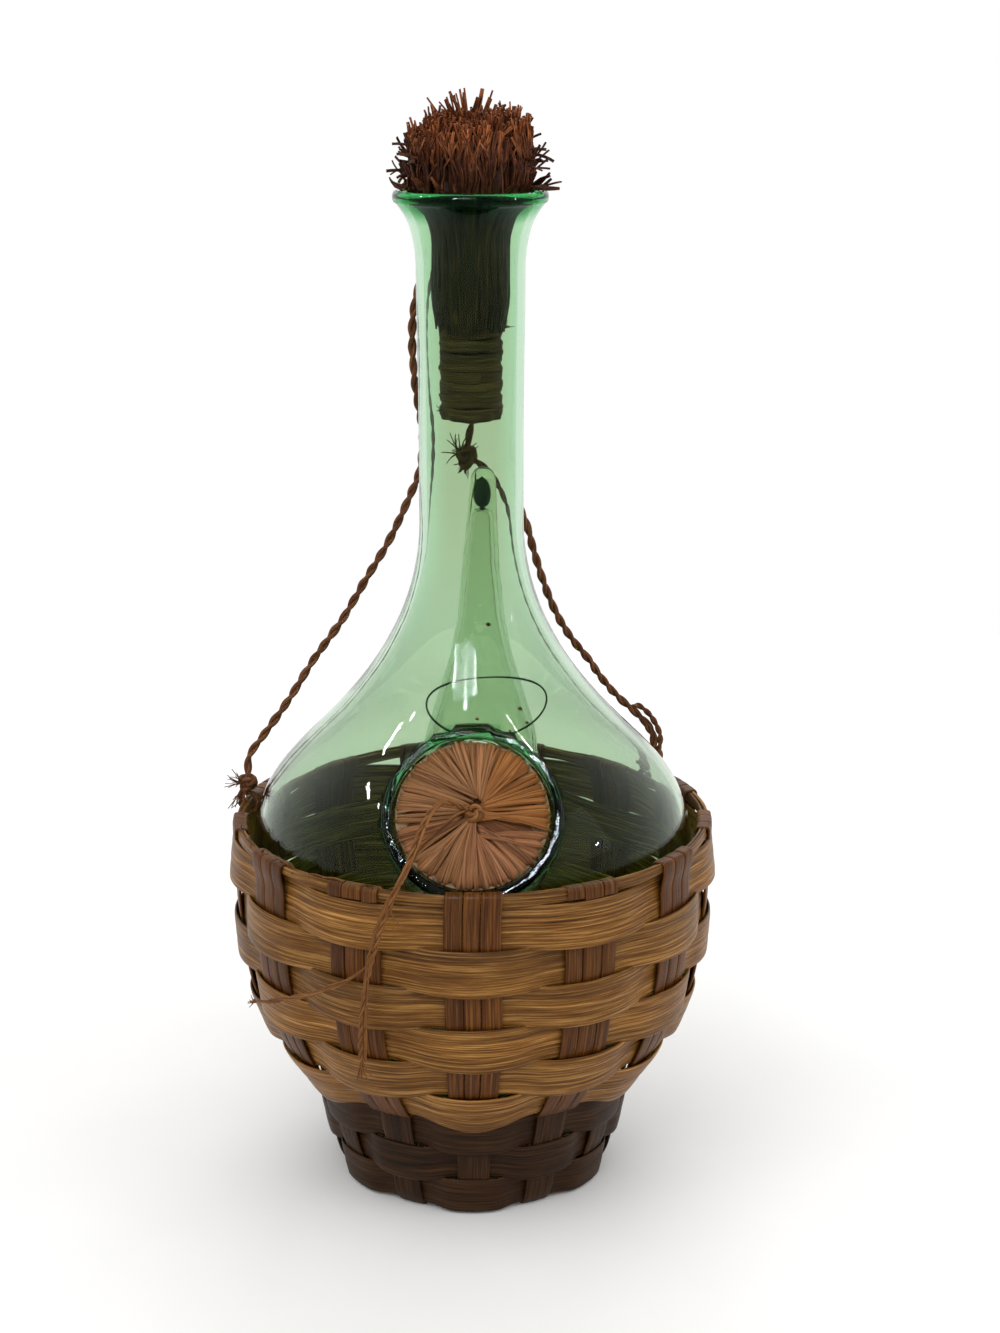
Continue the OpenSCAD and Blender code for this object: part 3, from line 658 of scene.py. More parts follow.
def pocket_skin(name, shrink, reach, limit):
    """The ice pocket's bowl and horn in one rounded skin, shrunk by the wall."""
    r = MOUTH_R + POCKET_WALL - shrink
    skin = linked(name, joined_hull([(MOUTH - MOUTH_OUT * MOUTH_DEPTH, r), (MOUTH + MOUTH_OUT * reach, r)]))
    # balls that the horn is drawn over, from the bowl to the tip
    horn = [((0, -27, 135), 22.4)]
    horn += [((HORN_X, -max(0, inside_r(z) - q - HORN_GAP), z), q)
             for z, q in ((161.5, 18.4), (185.5, 10.8), (199, 8), (218, 6.2))]
    horn += [((HORN_X + 1, 0, 246.7), 4.3)]
    if shrink > 0:
        tip, bend = Vector(horn[-1][0]), Vector(horn[-2][0])
        share = HORN_SOLID / (tip - bend).length
        horn[-1] = (tuple(tip.lerp(bend, share)), horn[-1][1] + (horn[-2][1] - horn[-1][1]) * share)
    for pair in zip(horn, horn[1:]):
        part = joined_hull([(c, max(q - shrink, 1.5)) for c, q in pair])
        combined(skin, linked("part", part), "UNION")
    remesh = skin.modifiers.new("skin", "REMESH")
    remesh.mode = "VOXEL"
    remesh.voxel_size = 0.0009
    soft = skin.modifiers.new("soft", "SMOOTH")
    soft.iterations = 10
    soft.factor = 0.6
    apply_modifiers(skin)
    combined(limit, disc("mouth_tube", r, r, -40, 60), "UNION")
    combined(skin, limit, "INTERSECT")
    return skin


def apply_modifiers(obj):
    dg = bpy.context.evaluated_depsgraph_get()
    dg.update()
    mesh = bpy.data.meshes.new_from_object(obj.evaluated_get(dg))
    obj.modifiers.clear()
    obj.data = mesh


def combined(obj, other, operation):
    step = obj.modifiers.new(operation, "BOOLEAN")
    step.operation = operation
    step.solver = "EXACT"
    step.object = other
    apply_modifiers(obj)
    bpy.data.objects.remove(other)


def disc(name, low_r, high_r, low, high):
    """A round slab on the mouth's axis, between two heights over the mouth's plane."""
    bm = bmesh.new()
    bmesh.ops.create_cone(bm, cap_ends=True, segments=160, radius1=low_r * MM, radius2=high_r * MM,
                          depth=(high - low) * MM)
    shift = Matrix.Translation((0, 0, (high + low) / 2 * MM))
    bmesh.ops.transform(bm, verts=bm.verts, matrix=MOUTH_PLACE @ shift)
    return linked(name, bm)


def mark_glass(mesh):
    """Marks the walls of the pocket inside the bottle, and the edge of its mouth."""
    inner = [inside_r(z) or 0 for z in range(GLASS_LOW, GLASS_HIGH + 1)]
    pocket, mouth = [], []
    for v in mesh.vertices:
        q = v.co / MM
        inside = GLASS_LOW <= q.z < GLASS_HIGH
        room = inner[int(q.z) - GLASS_LOW] - hypot(q.x, q.y) if inside else 0
        pocket.append(smoothstep((room - 1.0) / 1.5))
        high = (q - MOUTH).dot(MOUTH_OUT)
        r = (q - MOUTH - MOUTH_OUT * high).length
        edge = MOUTH_R - 1 < r < MOUTH_R + POCKET_WALL + 1
        mouth.append(smoothstep((high + 5) / 3) if edge and high < 3 else 0.0)
    for name, values in (("pocket", pocket), ("mouth", mouth)):
        mesh.attributes.new(name, "FLOAT", "POINT").data.foreach_set("value", values)


def make_glass():
    outer = glass_outline()
    lip = [Vector((LIP_R - d, LIP_Z - e)) for d, e in
           ((0.25, 2.3), (0, 1.5), (-0.05, 0.6), (0.1, -0.3), (0.55, -1.0), (1.2, -1.35), (2.0, -1.35),
            (2.7, -1.0), (3.2, -0.3), (3.35, 0.6), (3.3, 1.5))]
    top = [Vector((0, LIP_Z - 0.5))]
    solid = revolved("glass_bottle", outer + lip + top)
    cavity = revolved("cavity", inset(outer, WALL) + top)
    under_skin = revolved("under_skin", inset(outer, 0.2) + top)
    over_cavity = revolved("over_cavity", inset(outer, WALL - 0.35) + top)
    pocket = pocket_skin("pocket", 0, 0, under_skin)
    hollow = pocket_skin("hollow", POCKET_WALL, 30, over_cavity)
    combined(pocket, disc("above_mouth", 40, 40, 0.8, 60), "DIFFERENCE")
    keep = new_object("keep", pocket.data.copy())
    combined(cavity, pocket, "DIFFERENCE")
    combined(solid, keep, "UNION")
    # the blown shoulder is open where it bulges over the mouth
    bulge = disc("over_mouth", MOUTH_R + POCKET_WALL - 0.6, MOUTH_R + POCKET_WALL + 1.5, 0.8, 21)
    combined(solid, bulge, "DIFFERENCE")
    combined(solid, cavity, "DIFFERENCE")
    combined(solid, hollow, "DIFFERENCE")
    solid.data.materials.clear()
    solid.data.materials.append(GLASS)
    solid.data.polygons.foreach_set("use_smooth", [True] * len(solid.data.polygons))
    mark_glass(solid.data)
    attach(solid, ROOT)
    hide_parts("bottle_body", "bottle_shoulder", "bottle_neck", "ice_pocket", "ice_horn")


def make_specks():
    """Seeds of dirt in the glass, the pocket's seam, and a dark spindle in the horn's tip that is a painted
    refraction.
    """
    shape = Shape()
    for x, y, z, size in ((1.6, -39.4, 174.4, 0.6), (15.6, -34.6, 176.4, 0.75), (17.8, -36.9, 172.2, 0.6),
                          (5.2, -14.3, 199.6, 0.8), (12.2, -40.2, 170.4, 0.45)):
        line = [Vector((x - size, y, z)), Vector((x - size * 0.5, y, z + 0.1)),
                Vector((x + size * 0.4, y, z)), Vector((x + size, y, z - 0.1))]
        tube(shape, line, lambda t, size=size: size * (0.3 + 2.6 * t * (1 - t)), 8, x)
    shape.piece("glass_specks", CORD, ROOT, "glass")

    # the seam where the pocket was pressed to the shoulder, in the glass of the wall
    shape = Shape()
    line = []
    for i in range(121):
        g = 2 * pi * i / 120
        x, z = SEAM_X + SEAM_WIDE * cos(g), SEAM_Z + SEAM_HIGH * sin(g)
        line.append(Vector((x, -sqrt((inside_r(z) + 0.7) ** 2 - x * x), z)))
    tube(shape, line, lambda t: 0.34 + 0.1 * sin(19 * t) * sin(7 * t), 8)
    shape.piece("pocket_seam", SEAM_AND_PAINTED_REFRACTION, ROOT, "glass")

    # a dark spindle in the horn's solid tip: painted refraction, the dark image that the thick tip shows of
    # what lies behind it
    shape = Shape()
    line = [Vector((3.6, -0.7, 236.8 + 1.05 * i)) for i in range(11)]
    tube(shape, line, lambda t: 0.15 + 1.95 * sqrt(max(0, 4 * t * (1 - t))), 20)
    shape.piece("horn_tip_painted_refraction", SEAM_AND_PAINTED_REFRACTION, ROOT, "glass")


make_glass()
make_specks()


# ---- weave ----
STAKES = 13
STEP = 360 / STAKES
BODY_Z0 = 41.0
BODY_Z1 = 124.0
BODY_ROWS = 6
FOOT_ROWS = 3
FOOT_Z0 = 1.4
FOOT_R = 46.4
STAKE_OUT = 0.5
REED_Z = BODY_Z1 + 1.9
REED_H = 3.2
REED_T = 2.4
STAKE_W = 18.6
FOOT_STAKE_W = 15.6
WEAVER_T = 1.2
WEAVER_OUT = 1.3
STAKE_FULL_R = 80
SPLINT_STEP = 0.045


def body_r(z):
    return 81.5 - 0.0031 * (z - 108) ** 2 - 7.5 * (1 - smoothstep((z - 36) / 28))


def band_point(band, k):
    if band == "body":
        z = BODY_Z0 + k * (BODY_Z1 - BODY_Z0) / BODY_ROWS
        return Vector((body_r(z), z))
    z = FOOT_Z0 + k * (FOOT_TOP - FOOT_Z0) / FOOT_ROWS
    return Vector((FOOT_R + 0.27 * z, z))


def on_band(band, k):
    """The radius and height of a band's middle surface at row height k."""
    rows = BODY_ROWS if band == "body" else FOOT_ROWS
    i = max(0, min(rows - 1, floor(k)))
    a, b = band_point(band, i), band_point(band, i + 1)
    return a + (b - a) * (k - i)


def band_out(band, k):
    d = (on_band(band, k + 0.25) - on_band(band, k - 0.25)).normalized()
    return Vector((d.y, -d.x))


def flattened(c):
    return c * (1.5 - 0.5 * c * c)


def climb(u):
    if abs(u) <= 5:
        return 0.0
    return copysign(smoothstep((abs(u) - 5) / 3), u)


def weaver_offset(band, u, k):
    c = cos(pi * (u + k))
    body = band == "body"
    near = smoothstep(2 * (abs(u) - 4.5))
    slack = (0.9 * max(0, 1 - k / 3) if body else 0.3) * near
    bulge = 1.0 if body else 0.2
    return (WEAVER_OUT + slack) * flattened(flattened(c)) + bulge * max(0, c) ** 2


def around(p, angle):
    return polar(p.x, angle, p.y)


def weaver_splint(shape, band, k, low, high, mark, lift=0.0, droop=0.0):
    """One splint of a row, between two shares of the row's height."""
    rows = BODY_ROWS if band == "body" else FOOT_ROWS
    pitch = (BODY_Z1 - BODY_Z0) / BODY_ROWS if band == "body" else (FOOT_TOP - FOOT_Z0) / FOOT_ROWS
    start = -7 if k == 0 else (-STAKES / 2 - 0.5 if k % 2 == 0 else -STAKES / 2 + 0.5)
    end = STAKES / 2 + 0.5 if k % 2 == 0 else STAKES / 2 - 0.5
    count = int((end - start) / SPLINT_STEP)
    line, faces, widths = [], [], []
    for i in range(count + 1):
        u = start + 0.03 + (end - start - 0.06) * i / count
        row = k + climb(u)
        c = cos(pi * (u + k))
        edge_low = row + low + 0.035 * wobble(u * 1.3, mark, 1.7)
        edge_high = row + high + 0.035 * wobble(u * 1.1, mark, 8.3)
        edge_low -= droop * max(0, c) ** 2 / pitch
        edge_low = max(edge_low, -0.35 if band == "body" else 0.0)
        edge_high = min(edge_high, rows + 0.04)
        middle = (edge_low + edge_high) / 2
        off = weaver_offset(band, u, k) + lift + 0.12 * wobble(u * 0.9, mark, 4.4)
        p = on_band(band, max(middle, 0)) + band_out(band, max(middle, 0.26)) * off
        if middle < 0:
            p.y += middle * pitch
        angle = radians(-90 + u * STEP)
        line.append(around(p, angle))
        n = band_out(band, max(middle, 0.26))
        # each splint leans out at its lower edge, over the top of the row below
        faces.append(around(Vector((n.x, n.y + 0.075)), angle))
        widths.append(max((edge_high - edge_low) * pitch, 0.6))
    ribbon(shape, line, faces, widths, 0.62, mark, crown=0.3)


def make_rows():
    rng = random.Random(41)
    for band, rows, wood, slot in (("body", BODY_ROWS, WEAVER_WOOD, "weaver"),
                                   ("foot", FOOT_ROWS, FOOT_WOOD_PAINTED_SHADE, "foot_splint")):
        for k in range(rows):
            shape = Shape()
            mark = k * 5.3 + (40 if band == "foot" else 0)
            cut = rng.uniform(0.4, 0.6)
            droop = 2.6 if band == "body" and k == 0 else 0.8
            if band == "body":
                low, high = cut * 0.75, cut * 0.75 + rng.uniform(0.28, 0.36)
                weaver_splint(shape, band, k, -0.02, low + 0.08, mark, 0.12, droop)
                weaver_splint(shape, band, k, low - 0.02, high + 0.06, mark + 2.1, -0.1)
                weaver_splint(shape, band, k, high - 0.03, 1.05, mark + 4.4, -0.36)
            else:
                weaver_splint(shape, band, k, -0.02, cut + 0.12, mark, 0.12, droop)
                weaver_splint(shape, band, k, cut - 0.06, 1.04, mark + 2.1, -0.36)
            name = "%s_row_%d" % (band, k + 1)
            shape.piece(name + "_splints", wood, ROOT, slot, name)


def stake_offset(u, k):
    return -STAKE_OUT * cos(pi * (u + k - 0.5 - climb(u)))


def stake_line(u):
    outside = 1 if u % 2 == 0 else -1
    fold_out = REED_T / 2 + STAKE_T / 2 + 0.15
    fold_in = fold_out + STAKE_W ** 2 / 81.5 / 8 + 0.05
    over = fold_out if outside > 0 else -fold_in
    back = -fold_in if outside > 0 else fold_out
    rim = on_band("body", BODY_ROWS).x
    top = REED_Z + REED_H + STAKE_T / 2 - 0.5
    shelf = FOOT_TOP + STAKE_T / 2
    body = []
    for k in range(BODY_ROWS):
        for q in (0, 0.3, 0.7):
            body.append(on_band("body", k + q) + band_out("body", k + q) * stake_offset(u, k + q))
    line = [Vector((48, shelf)), Vector((body[0].x - 3, shelf)), Vector((body[0].x - 0.6, shelf + 0.6))]
    line += body[1:]
    line += [Vector((rim + over * 0.9, BODY_Z1 + 0.4)), Vector((rim + over, REED_Z + 0.3)),
             Vector((rim + over, REED_Z + REED_H - 0.5)), Vector((rim + over * 0.6, top)),
             Vector((rim + back * 0.6, top)), Vector((rim + back, REED_Z + REED_H - 0.5))]
    tail_in = -WEAVER_OUT - WEAVER_T / 2 - STAKE_T / 2 - 0.8
    if outside > 0 and u != 0:
        line += [Vector((rim + tail_in * 0.85, BODY_Z1 + 0.9)), Vector((rim + tail_in, BODY_Z1 - 2)),
                 Vector((rim + tail_in + 0.2, BODY_Z1 - 10))]
    elif outside < 0:
        line += [Vector((rim + fold_out, REED_Z - 0.9))]
    return line


def foot_stake_line(u):
    line = [Vector((FOOT_R - 9, STAKE_T / 2)), Vector((FOOT_R - 1.6, STAKE_T / 2)),
            Vector((FOOT_R - 0.2, STAKE_T / 2 + 1.2))]
    for k in range(FOOT_ROWS):
        for q in (0.3, 0.7):
            line.append(on_band("foot", k + q) + band_out("foot", k + q) * stake_offset(u, k + q))
    return line + [Vector((on_band("foot", FOOT_ROWS).x, FOOT_TOP - 0.2))]


def stake_splints(shape, line, angle, total, splits, mark, rng):
    """Narrow splints side by side along one stake."""
    path = rounded([Vector((p.x, p.y, 0)) for p in line])
    left = -total / 2
    for i, share in enumerate(splits):
        width = total * share
        middle = left + width / 2
        left += width
        lean = rng.uniform(-0.3, 0.3)
        trim = rng.randint(0, 2)
        points, faces = [], []
        part = path[: len(path) - trim]
        d = [(part[min(j + 1, len(part) - 1)] - part[max(j - 1, 0)]).normalized() for j in range(len(part))]
        for j, p in enumerate(part):
            # splints crowd together where the stake runs in under the bottle
            t = angle + middle * min(p.x / STAKE_FULL_R, 1) / max(p.x, 30)
            sway = lean * sin(j / 9)
            side = Vector((-sin(t), cos(t), 0))
            points.append(around(Vector((p.x, p.y)), t) + side * sway)
            faces.append(around(Vector((d[j].y, -d[j].x)), t))
        base = width - 0.25
        widths = [base * (0.84 + 0.16 * smoothstep((p.y - 41) / 45)) for p in part]
        ribbon(shape, points, faces, widths, 0.8, mark + i * 1.9, crown=0.18)


def make_stakes():
    rng = random.Random(7)
    for i in range(STAKES):
        u = i - STAKES if i > (STAKES - 1) / 2 else i
        angle = radians(-90 + u * STEP)
        cuts = [rng.uniform(0.28, 0.4) for _ in range(3)]
        cuts = [c / sum(cuts) for c in cuts]
        shape = Shape()
        stake_splints(shape, stake_line(u), angle, STAKE_W, cuts, i * 3.7, rng)
        shape.piece("stake_%d_splints" % (i + 1), STAKE_WOOD, ROOT, "splint", "stake_%d" % (i + 1))
        shape = Shape()
        stake_splints(shape, foot_stake_line(u), angle, FOOT_STAKE_W, cuts, i * 2.9 + 60, rng)
        shape.piece("foot_stake_%d_splints" % (i + 1), FOOT_WOOD_PAINTED_SHADE, ROOT, "foot_splint",
                    "foot_stake_%d" % (i + 1))


def make_reed():
    """Two long splints along the rim, with torn fibres left of the middle."""
    rng = random.Random(97)
    shape = Shape()
    rim = on_band("body", BODY_ROWS).x
    for side, low, high, mark in ((0.62, -1.4, 1.7, 1.0), (-0.62, -3.0, 1.4, 5.0)):
        line, faces, widths = [], [], []
        for i in range(360):
            g = 2 * pi * i / 359
            ragged = 0.35 * wobble(cos(g) * 3, sin(g) * 3, mark)
            z = REED_Z + REED_H / 2 + (low + high) / 2 + ragged
            r = rim + side + 0.1 * sin(9 * g + mark)
            line.append(polar(r, g, z))
            faces.append(polar(1, g, 0.1))
            widths.append((high - low) * (1 + 0.12 * sin(7 * g + mark * 2)))
        ribbon(shape, line, faces, widths, 0.9, mark)
    for i in range(46):
        g = radians(rng.uniform(-165, -104))
        r = rim + rng.uniform(-1.2, 1.2)
        p = polar(r, g, REED_Z + rng.uniform(1.5, 3.2))
        along = Vector((-sin(g), cos(g), 0)) * rng.choice((-1, 1))
        line = [p]
        way = (along + Vector((0, 0, rng.uniform(-0.05, 0.3)))).normalized()
        for _ in range(4):
            p = p + way * rng.uniform(1.2, 2.6)
            way = (way + Vector((rng.gauss(0, 0.1), rng.gauss(0, 0.1), rng.gauss(0, 0.15)))).normalized()
            turned = Vector((p.x, p.y, 0)).normalized() * rim
            on_top = Vector((turned.x, turned.y, p.z))
            p = on_top + (p - on_top) * 0.4
            line.append(p)
        faces = [Vector((q.x, q.y, 20)).normalized() for q in line]
        ribbon(shape, line, faces, rng.uniform(0.4, 1.1), 0.35, i * 1.1 + 3 * KIND)
    shape.piece("rim_reed_splints", WEAVER_WOOD, ROOT, "splint", "rim_reed")


def make_mat():
    pitch, count, width, radius = 13, 7, 9.6, 53
    z0 = FOOT_TOP + STAKE_T + MAT_WAVE + MAT_T / 2
    for name, phase, turn in (("bottom_splints_across", 0, 0), ("bottom_splints_along", 1, 90)):
        shape = Shape()
        spin = Matrix.Rotation(radians(turn), 3, "Z")
        for i in range(count):
            y = (i - 3) * pitch
            half = sqrt(radius ** 2 - (abs(y) + width / 2) ** 2)
            line = []
            for j in range(61):
                x = -half + 2 * half * j / 60
                z = z0 + MAT_WAVE * flattened(cos(pi * (x / pitch + i + phase)))
                line.append(spin @ Vector((x, y, z)))
            for part, (share, at) in enumerate(((0.5, -0.25), (0.48, 0.25))):
                ribbon(shape, line, [Vector((0, 0, 1))] * len(line), width * share, 0.8,
                       i * 2.3 + part + phase * 20, shift=width * at)
        shape.piece(name + "_fine", STAKE_WOOD, ROOT, "splint", name)


make_rows()
make_stakes()
make_reed()
make_mat()


# ---- neck stopper ----
STOPPER_Z0 = 267
CORK_R = 9.0
BINDING_Z1 = 297
SHEATH_R = 13.0
HEAD_Z = LIP_Z + 1
TUFT_COUNT = 1900
TUFT_R = 19.2
TUFT_TOP = 373.5
GOLDEN_TURN = 2.39996
CLUMP = 3.1
STRAYS = 70


def over_lip(line):
    """Keeps a fibre that leaves the tuft above the glass lip."""
    return [Vector((p.x, p.y, max(p.z, LIP_Z + 2.4))) if hypot(p.x, p.y) > 20 else p for p in line]


def make_stopper():
    rng = random.Random(23)
    shape = Shape()
    rings, grains = [], []
    for r, z in ((0.01, 266.9), (6, 266.7), (8.3, 267.3), (9.2, 269), (9.2, 296), (10, 298), (10.1, 338),
                 (0.01, 338)):
        rings.append([polar(r, g, z + 0.3 * sin(3 * g)) for g in full_turn(48)])
        grains.append([(z, s * 0.4, 0.5) for s in range(48)])
    shape.loft(rings, grains)
    shape.piece("stopper_core", SHEATH, STOPPER, "cork", "stopper_cork")

    shape = Shape()
    z = STOPPER_Z0 + 1.0
    turns = 0
    while z < BINDING_Z1 + 0.5:
        width = rng.uniform(0.9, 2.8)
        tilt = rng.uniform(-0.9, 0.9)
        lean = rng.uniform(0, 6.28)
        line, faces = [], []
        for i in range(73):
            g = lean + 2 * pi * i / 72 * 1.04
            low = z + width / 2 + tilt * sin(g) + 0.15 * sin(5 * g + turns)
            r = CORK_R + 0.7 + 0.25 * sin(turns * 2.1) + 0.18 * sin(3 * g + turns) + 0.004 * i
            r += 0.5 * (1 - smoothstep((z - 267) / 5)) * sin(11 * g)
            line.append(polar(r, g, low))
            faces.append(polar(1, g, 0.25 * sin(turns * 1.3)))
        ribbon(shape, line, faces, width * 1.15, 0.5, turns * 1.7, crown=0.45)
        z += width * 0.84
        turns += 1
    fray(shape, Vector((10.4, 1.5, 297)), Vector((1, -0.4, 0.5)), 4.2, 16, 0.5, 0.2, 31, 0.9)
    fray(shape, Vector((-9.6, -2.5, 271)), Vector((-0.8, -0.5, 0.1)), 2.2, 4, 0.5, 0.18, 32, 0.8)
    shape.piece("stopper_raffia_turns", OLIVE, STOPPER, "olive_raffia", "stopper_binding")

    shape = Shape()
    for i in range(150):
        g0 = 2 * pi * i / 150 + rng.uniform(-0.02, 0.02)
        depth = rng.uniform(0, 1.6)
        line = []
        swing = rng.uniform(-0.06, 0.06)
        low = 297 + rng.uniform(-1.6, 2.2)
        for j in range(14):
            t = j / 13
            z = low + (HEAD_Z - low) * t
            r = SHEATH_R - 0.5 - depth * 0.7 + 0.4 * sin(3 * t + i)
            r -= 1.5 * (1 - smoothstep((z - 296) / 12))
            r += 1.5 * smoothstep((z - 325) / 8) + 5.4 * smoothstep((z - 332) / 8)
            g = g0 + swing * t * 3 + 0.02 * sin(7 * t + i)
            line.append(polar(r, g, z))
        faces = [Vector((p.x, p.y, 0)).normalized() for p in line]
        ribbon(shape, line, faces, rng.uniform(0.6, 1.5), 0.45, i * 0.77, crown=0.4)
    shape.piece("stopper_sheath_fibres", SHEATH, STOPPER, "olive_raffia", "stopper_sheath")

    shape = Shape()
    for i in range(TUFT_COUNT):
        share = sqrt((i + 0.5) / TUFT_COUNT)
        out = polar(1, i * GOLDEN_TURN)
        base = out * TUFT_R * share + Vector((0, 0, HEAD_Z - 2))
        clump = Vector((floor(base.x / CLUMP + 0.6 * noise.noise(base * 0.2)), floor(base.y / CLUMP), 1.5))
        centre = Vector(((clump.x + 0.5) * CLUMP, (clump.y + 0.5) * CLUMP, base.z))
        base = base.lerp(centre, 0.2)
        common = Vector((noise.noise(clump * 1.7), noise.noise(clump * 2.3 + Vector((9, 0, 0))), 0))
        length = 26.8 - 8.0 * share ** 3 + 4.5 * noise.noise(clump * 3.1) + rng.gauss(0, 0.8) + 0.06 * base.x
        if (base.x + 0.6) ** 2 + (base.y + 2) ** 2 < 5.5:
            length = 33.0 + rng.gauss(0, 1.3)
            common = Vector((0.02, 0.05, 0))
        d = Vector((0, 0, 1)) + out * (0.015 + 0.05 * share ** 2) + common * 0.22
        d = (d + Vector((rng.gauss(0, 0.05), rng.gauss(0, 0.05), 0))).normalized()
        curl = Vector((rng.gauss(0, 0.13), rng.gauss(0, 0.13), 0))
        if rng.random() < 0.1 and share > 0.72 and abs(out.x) > 0.4:
            length = rng.uniform(7, 15)
            d = (Vector((0, 0, 1)) + out * rng.uniform(0.4, 2.2)).normalized()
            curl = Vector((rng.gauss(0, 0.4), rng.gauss(0, 0.4), rng.uniform(-0.5, 0.9)))
        p, line = base, [base]
        for _ in range(6):
            p = p + d * length / 6
            line.append(p)
            d = (d + curl * 0.5).normalized()
        if p.z > TUFT_TOP:
            continue
        if length > 15:
            for j, q in enumerate(line):
                sway = clump * 1.7 + Vector((0, 0, 0.45 * j))
                wave = Vector((noise.noise(sway), noise.noise(sway + Vector((0, 7, 0))), 0)) * 1.5
                wave += Vector((wobble(i, j * 0.9, 0), wobble(0, i, j * 0.9), 0)) * 0.6
                spread = hypot(q.x, q.y)
                if spread > 19.6:
                    q = Vector((q.x, q.y, 0)) * (19.6 / spread) + Vector((0, 0, q.z))
                line[j] = q + wave * min(1, j / 2)
        face = Vector((rng.gauss(0, 1), rng.gauss(0, 1), 0.1)).normalized()
        thick = rng.choice((0.7, 1.0, 1.5, 2.1))
        widths = [thick * w * rng.uniform(0.7, 1.1) for w in (0.9, 1, 1, 1, 1, 0.9, 0.7)]
        ribbon(shape, over_lip(line), [face] * 7, widths, 0.42, i * 0.37, crown=0.35)
    for i in range(STRAYS):
        side = -1 if i % 5 < 3 else 1
        g = rng.gauss(0, 0.55)
        out = Vector((side * cos(g), sin(g), 0))
        p = out * rng.uniform(15, 18) + Vector((0, 0, HEAD_Z + rng.uniform(1.8, 13)))
        d = (out + Vector((0, 0, rng.uniform(-0.05, 1.4)))).normalized()
        bend = Vector((rng.gauss(0, 0.25), rng.gauss(0, 0.25), rng.uniform(-0.45, 0.5)))
        line = [p]
        step = rng.uniform(0.7, 1.6)
        for _ in range(8):
            p = p + d * step
            d = (d + bend * 0.4).normalized()
            line.append(p)
        face = Vector((rng.gauss(0, 1), rng.gauss(0, 1), 0.1)).normalized()
        ribbon(shape, over_lip(line), [face] * 9, rng.uniform(0.6, 1.2), 0.4, i * 0.9)
    shape.piece("stopper_tuft_fibres", TUFT, STOPPER, "tuft_fibre", "stopper_tuft", smooth=False)


make_stopper()


# ---- ice plug ----
COVER_R = MOUTH_R - 1.7
PLUG_FACE = -0.6
FACE_PLACE = (Matrix.Translation(MOUTH) @ MOUTH_TURN @ Matrix.Translation((0, 0, PLUG_FACE))).to_4x4()


def plug_point(r, g, h):
    return (FACE_PLACE @ polar(r, g, h)).to_3d()


# a bundle: where its strands start (mm right and up of the knot), the rim angles where they end,
# its height over the cork, its tint, and how many strands
BUNDLES = (((1.5, 1.0), (3.0, 3.6), 6, 37, 0.3, 1, 11), ((3.4, 3.2), (2.2, 4.6), 40, 70, 0.45, 1, 9),
           ((2.8, 4.2), (1.6, 5.2), 68, 92, 0.8, 0, 7), ((2.2, 5.4), (0.4, 4.8), 90, 128, 0.2, 0, 9),
           ((2.6, 6.2), (-1.6, 1.8), 131, 160, 1.1, 0, 7), ((-3.4, 2.0), (-4.2, -0.4), 163, 186, 0.5, 0, 8),
           ((-3.2, -0.8), (-5.2, -3.4), 190, 215, 0.05, 2, 7),
           ((-0.2, -0.8), (0.5, -1.8), 212, 267, 0.9, 0, 12),
           ((0.6, -5.0), (2.0, -7.6), 271, 306, 0.25, 2, 8), ((1.6, -3.6), (2.2, -8.0), 309, 345, 0.1, 2, 6),
           ((1.2, 1.2), (1.6, -2.4), 347, 365, 1.0, 1, 4), ((0.2, -1.2), (0.9, -2.0), 264, 271, 1.2, 2, 2))


def make_cover(rng):
    """Raffia gathered at the knot: a skin tinted dark, painted shade in the gaps, under bundles that lie
    across each other.
    """
    shape = Shape()
    profile = [(2.0, 0.2), (3.5, 0.2), (6, 0.15), (9, 0.1), (12, 0), (15, -0.2), (18, -0.4), (20.5, -0.8),
               (22.5, -1.3), (23.6, -2.0), (24.0, -3), (24.0, -5), (24.0, -9), (23.4, -9.4), (22.4, -5)]
    rings, grains = [], []
    for r, h in profile:
        turn = full_turn(240)
        rings.append([plug_point(r, g, h + 0.25 * sin(g * 31 + 2 * sin(g * 3)) * min(1, r / 9))
                      for g in turn])
        # the skin takes the darkest tint, painted shade that shows between the bundles
        grains.append([(r, g * 24, 3.0 + 3 * KIND) for g in turn])
    shape.loft(rings, grains)
    for number, (first, last, g_first, g_last, level, kind, count) in enumerate(BUNDLES):
        first, last = Vector(first), Vector(last)
        for i in range(count):
            share = (i + 0.5) / count
            start = first.lerp(last, share + rng.uniform(-0.12, 0.12))
            g = radians(g_first + (g_last - g_first) * share + rng.gauss(0, 0.7))
            reach = COVER_R - rng.uniform(0, 0.9)
            end = Vector((cos(g), sin(g))) * reach
            broad = radians(g_last - g_first) * COVER_R / count * rng.uniform(1.15, 1.7)
            tilt = rng.choice((-1, 1)) * rng.uniform(0.15, 0.5)
            arch = rng.uniform(-0.12, 0.3)
            bow = rng.gauss(0, 0.45)
            side = Vector((-sin(g), cos(g)))
            line, faces, widths = [], [], []
            for j in range(18):
                t = j / 17
                q = start.lerp(end, min(t / 0.95, 1)) + side * bow * sin(pi * t)
                h = 0.75 + level * (1 - t ** 3) + arch * sin(pi * t) - 1.2 * t ** 6
                if j == 17:
                    h = -1.9
                line.append(FACE_PLACE @ Vector((q.x, q.y, h)))
                faces.append(MOUTH_OUT + (FACE_PLACE.to_3x3() @ Vector((side.x, side.y, 0))) * tilt)
                widths.append(0.7 + (broad - 0.7) * t ** 0.7)
            ribbon(shape, line, faces, widths, 0.28, number * 9 + rng.uniform(0, 7) + kind * KIND, crown=0.7)
    shape.piece("plug_raffia_cover", RAFFIA, PLUG, "raffia", "plug_cover")


